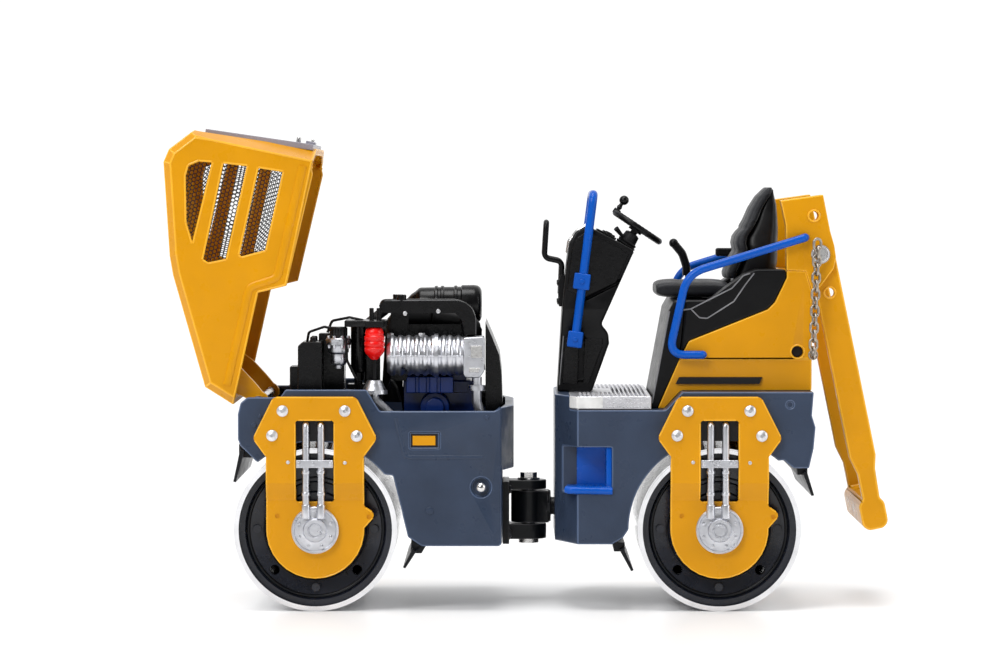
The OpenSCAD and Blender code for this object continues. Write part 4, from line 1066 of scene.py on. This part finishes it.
# each ring: its centre, its radius, the points round it and the thickness of its wire
for name, material, body, slot, rings in (
        # the rims round the holes are in the lighter yellow: a painted highlight
        ("hole_rims", yellow_highlight, "rear_frame", "yellow_paint",
         (((63.0, 22.82, 87.1), 1.25, 40, 0.22), ((59.4, 22.82, 57.0), 1.5, 40, 0.2))),
        ("leg_hole_rims", yellow_highlight, "rops_hoop", "yellow_paint",
         (((66.6, 21.47, 70.09), 1.25, 40, 0.22),)),
        ("key_rings", bolt_steel, "rear_frame", "bright_steel",
         (((64.4, 23.7, 78.6), 1.7, 48, 0.2),))):
    bm = bmesh.new()
    for side in SIDES:
        for (x, y, z), radius, count, wire in rings:
            tube(bm, ring_path((x, side * y, z), radius, count), wire, 10, closed=True)
    piece(name, bm, material, body, slot)
chain_steel = metal("chain_steel", (0.42, 0.38, 0.33), rough=0.35)
paint(nodes["rops_chains"].data, chain_steel)

# ---------------- filters

low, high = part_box("fuel_filter")
FILTER_R = 2.8
filter_at = ((low.x + high.x) / 2 / MM, low.y / MM + FILTER_R, 0)
bm = bmesh.new()
bowl = [(0, 53.1), (0.75, 53.1), (0.8, 53.8), (1.5, 53.9), (1.75, 54.3), (1.75, 56.3), (2.1, 56.5),
        (2.3, 56.8), (2.3, 58.2), (2.8, 58.4), (2.8, 59.7), (2.6, 59.9), (0, 59.9)]
spun(bm, bowl, filter_at, (0, 0, 1), 48)
for turn in turns(8, 22.5):
    x, y = filter_at[0] + 2.3 * cos(turn), filter_at[1] + 2.3 * sin(turn)
    soft_rod(bm, (x, y, 57.6), (x, y, 60.4), 0.42, 0.12, 12)
piece("filter_bowl", bm, cast_silver, "front_frame", "cast_silver", stands_for=("fuel_filter",))
bm = bmesh.new()
cap = [(0, 59.8), (1.8, 59.8), (1.9, 60.1), (1.9, 62.2), (1.7, 62.4), (0, 62.4)]
spun(bm, cap, filter_at, (0, 0, 1), 48)
for turn in turns(20):
    x, y = filter_at[0] + 1.85 * cos(turn), filter_at[1] + 1.85 * sin(turn)
    soft_rod(bm, (x, y, 60.2), (x, y, 62.2), 0.16, 0.05, 8)
piece("filter_cap", bm, black_gloss, "front_frame", "cast_silver")

low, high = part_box("primer_bulb")
bulb_at = ((low.x + high.x) / 2 / MM, (low.y + high.y) / 2 / MM, 0)
bm = bmesh.new()
bulb = [(0, 55.2), (0.7, 55.2), (1.1, 55.6), (1.9, 56.5), (2.2, 57.1), (2.26, 57.7), (2.05, 58.0),
        (2.26, 58.3), (2.26, 59.0), (2.05, 59.3), (2.26, 59.6), (2.26, 60.3), (2.0, 60.6),
        (2.1, 61.1), (1.9, 61.8), (1.4, 62.3), (0, 62.4)]
spun(bm, bulb, bulb_at, (0, 0, 1), 48)
piece("bulb_body", bm, red_plastic, "front_frame", "red_plastic", stands_for=("primer_bulb",))
bm = bmesh.new()
soft_rod(bm, (bulb_at[0], bulb_at[1], 50.6), (bulb_at[0], bulb_at[1], 55.4), 0.55, 0.1, 20)
piece("bulb_stem", bm, black_plastic, "front_frame", "black_plastic")

# ---------------- hoses and leads

# each hose: its path, its radius and the radius of its bends
HOSES = (
    (((-31.0, -3.0, 45.0), (-30.0, -3.0, 64.3), (-22.0, -2.0, 64.6), (-13.0, -2.0, 63.0),
      (-12.2, -2.0, 52.0)), 2.3, 3.5),
    (((-27.0, 3.0, 50.0), (-25.5, 2.0, 62.0), (-18.0, 2.0, 62.2), (-15.0, 2.0, 50.0)), 2.0, 3.5),
    (((-38.2, -6.0, 50.0), (-38.0, -6.0, 61.4), (-31.5, -6.0, 66.5), (-27.0, -4.0, 66.5)), 1.1, 3.0),
    (((-36.0, 2.0, 48.0), (-36.0, 2.0, 60.4), (-31.0, 0.0, 61.4), (-28.0, -1.0, 52.0)), 1.4, 3.0),
)
bm = bmesh.new()
for points, radius, bend in HOSES:
    line = rounded(points, bend, 10)
    widths = [radius * (1 + 0.035 * cos(pi * k)) for k in range(len(line))]
    tube(bm, line, widths, 18)
piece("engine_hoses", bm, rubber, "front_frame", "black_plastic")
LEADS = (
    ((-49.5, -16.0, 58.6), (-49.0, -17.5, 61.2), (-45.5, -18.0, 62.4), (-42.0, -18.5, 61.6)),
    ((-45.0, -14.0, 61.0), (-44.0, -14.0, 63.6), (-40.0, -15.0, 64.4), (-37.0, -16.0, 63.8)),
    ((-40.6, -20.2, 60.0), (-40.4, -20.6, 55.0), (-38.4, -20.6, 51.0), (-38.0, -19.0, 47.5)),
    ((-31.4, -18.0, 48.4), (-30.6, -20.0, 51.0), (-29.4, -20.0, 49.0), (-28.6, -18.5, 46.0)),
)
bm = bmesh.new()
for points in LEADS:
    tube(bm, rounded(points, 1.0, 6), 0.3, 10)
piece("engine_leads", bm, black_plastic, "front_frame", "black_plastic")
bm = bmesh.new()
for x, z in ((-27.6, 65.3), (-20.2, 65.8)):
    soft_rod(bm, (x, -16.9, z), (x, -17.25, z), 0.5, 0.12, 16)
for x in (-31.0, -24.0):
    soft_rod(bm, (x, -14.2, 59.7), (x, -14.2, 60.9), 0.8, 0.15, 6)
piece("engine_screws", bm, bolt_steel, "front_frame", "bright_steel")

# ---------------- silencer, duct and air filter

SILENCER_AT = (-31.6, -17.4, 56.0)
BAND_FROM, BAND_TO = 10.5, 11.5
profile = [(0, 0), (3.7, 0), (4.05, 0.3)]
for k in range(9):
    start = 0.5 + 1.83 * k
    if BAND_FROM < start < BAND_TO:
        start += 0.5  # this rib stands clear of the band
    profile += [(4.15, start), (4.45, start + 0.3), (4.55, start + 0.6), (4.55, start + 0.9),
                (4.4, start + 1.2), (4.15, start + 1.45)]
profile += [(4.1, 17.0), (0, 17.1)]
bm = bmesh.new()
spun(bm, profile, SILENCER_AT, (1, 0, 0), 72)
band = [(0, BAND_FROM), (4.75, BAND_FROM), (4.88, BAND_FROM + 0.1), (4.88, BAND_TO - 0.1),
        (4.75, BAND_TO), (0, BAND_TO)]
spun(bm, band, SILENCER_AT, (1, 0, 0), 72)
tube(bm, [(-31.3, -22.0, 56.0), (-14.6, -22.0, 56.0)], 0.16, 8)
piece("silencer_can", bm, cast_silver, "front_frame", "cast_silver", stands_for=("muffler",))
bm = bmesh.new()
prism(bm, [(-14.6, 60.1), (-10.2, 60.3), (-9.9, 59.9), (-9.9, 52.7), (-11.0, 51.2), (-14.0, 51.2),
           (-14.6, 51.9)], -21.6, -12.4)
piece("silencer_box", bm, cast_silver, "front_frame", "cast_silver", bevel=0.35)
bm = bmesh.new()
for outline in ([(-12.9, 55.6), (-10.4, 55.6), (-10.4, 58.3), (-12.9, 58.3)],
                [(-13.3, 52.4), (-11.2, 52.4), (-10.8, 53.4), (-13.3, 53.4)]):
    prism(bm, outline, -21.85, -21.4)
piece("silencer_box_pads", bm, bright_steel, "front_frame", "cast_silver", bevel=0.12)
bm = bmesh.new()
block(bm, (-26, -15, 57), (-18, -9.6, 59))
piece("silencer_stay", bm, cast_silver, "front_frame", "cast_silver")

bm = bmesh.new()
DUCT_R = 1.45
DUCT_END = (-31.9, -15.5, 67.1)
arm = rounded([DUCT_END, (-14.6, -15.5, 67.1), (-13.2, -15.5, 60.6)], 3.2, 12)
tube(bm, arm, DUCT_R, 24)
ball(bm, DUCT_END, DUCT_R)
soft_rod(bm, (-28.4, -15.5, 67.6), (-28.4, -15.5, 69.5), 1.05, 0.2, 24)
piece("duct_arm", bm, black_gloss, "front_frame", "black_gloss")
# a thin grey line along the duct arm: a painted highlight on its edge
bm = bmesh.new()
tube(bm, rounded([(-30.6, -16.4, 68.1), (-15.4, -16.4, 68.1), (-11.9, -16.4, 65.0),
                  (-11.9, -16.4, 60.6)], 3.0, 10), 0.14, 8)
piece("duct_edge_highlight", bm, seam_and_highlight_grey, "front_frame", "black_gloss")

low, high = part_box("air_filter")
FILTER_AXIS_Z = 66.95
axis_at = (low.x / MM, (low.y + high.y) / 2 / MM, FILTER_AXIS_Z)
bm = bmesh.new()
spun(bm, [(0, 0), (1.1, 0), (1.3, 0.5), (2.2, 1.3), (3.1, 2.6), (3.6, 3.1), (3.75, 3.6),
          (3.8, 6.6), (4.1, 6.8), (4.15, 7.3), (3.85, 7.5), (3.85, 8.0), (4.15, 8.2), (4.15, 8.7),
          (3.9, 8.9), (3.9, 11.0), (4.2, 11.2), (4.2, 11.7), (3.95, 11.9), (3.95, 12.6),
          (4.3, 12.9), (4.33, 15.6), (4.2, 16.4), (3.8, 17.0), (3.0, 17.35), (0, 17.4)],
     axis_at, (1, 0, 0), 64)
piece("air_filter_can", bm, black_gloss, "front_frame", "black_gloss", stands_for=("air_filter",))

# a dark sheet under the edge of the deck: painted shade
bm = bmesh.new()
for side in SIDES:
    side_block(bm, side, (10.9, 22.0, 44.28), (26.9, 28.92, 44.62))
piece("deck_edge_shade", bm, decal_and_shade_black, "rear_frame", "black_metal")

# ---------------- drum discs

disc_paint = enamel("disc_enamel", (0.009, 0.011, 0.019), rough=0.28, coat=0.2, peel=0.8,
                    variation=0.3, shine=0.4)
# rings on a drum's disc: radius, thickness of the wire, how far it stands out
DISC_RINGS = ((14.9, 0.42, 0.5), (13.85, 0.2, 0), (11.4, 0.22, 0))
RIB_RADII = (8.9, 10.0, 11.2, 12.4, 13.5)
RIB_CURL = 0.02
DISC_SUNK = 1.5
for body, axle in (("front_drum", AXLES["front_frame"]), ("rear_drum", AXLES["rear_frame"])):
    paint(nodes[body + "_discs"].data, disc_paint)
    low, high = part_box(body + "_discs")
    bm = bmesh.new()
    for side in SIDES:
        face_y = side * (high.y / MM - DISC_SUNK)
        for radius, wire, proud in DISC_RINGS:
            centre = (axle.x, face_y + side * proud, axle.z)
            tube(bm, ring_path(centre, radius, 96), wire, 12, closed=True)
        for turn in turns(4, 20):
            rib = [(axle.x + r * cos(turn + RIB_CURL * r), face_y - side * 0.1,
                    axle.z + r * sin(turn + RIB_CURL * r)) for r in RIB_RADII]
            tube(bm, rib, 0.45, 12, flat=0.6)
    piece(body + "_disc_rings", bm, black_metal, body, "black_metal")
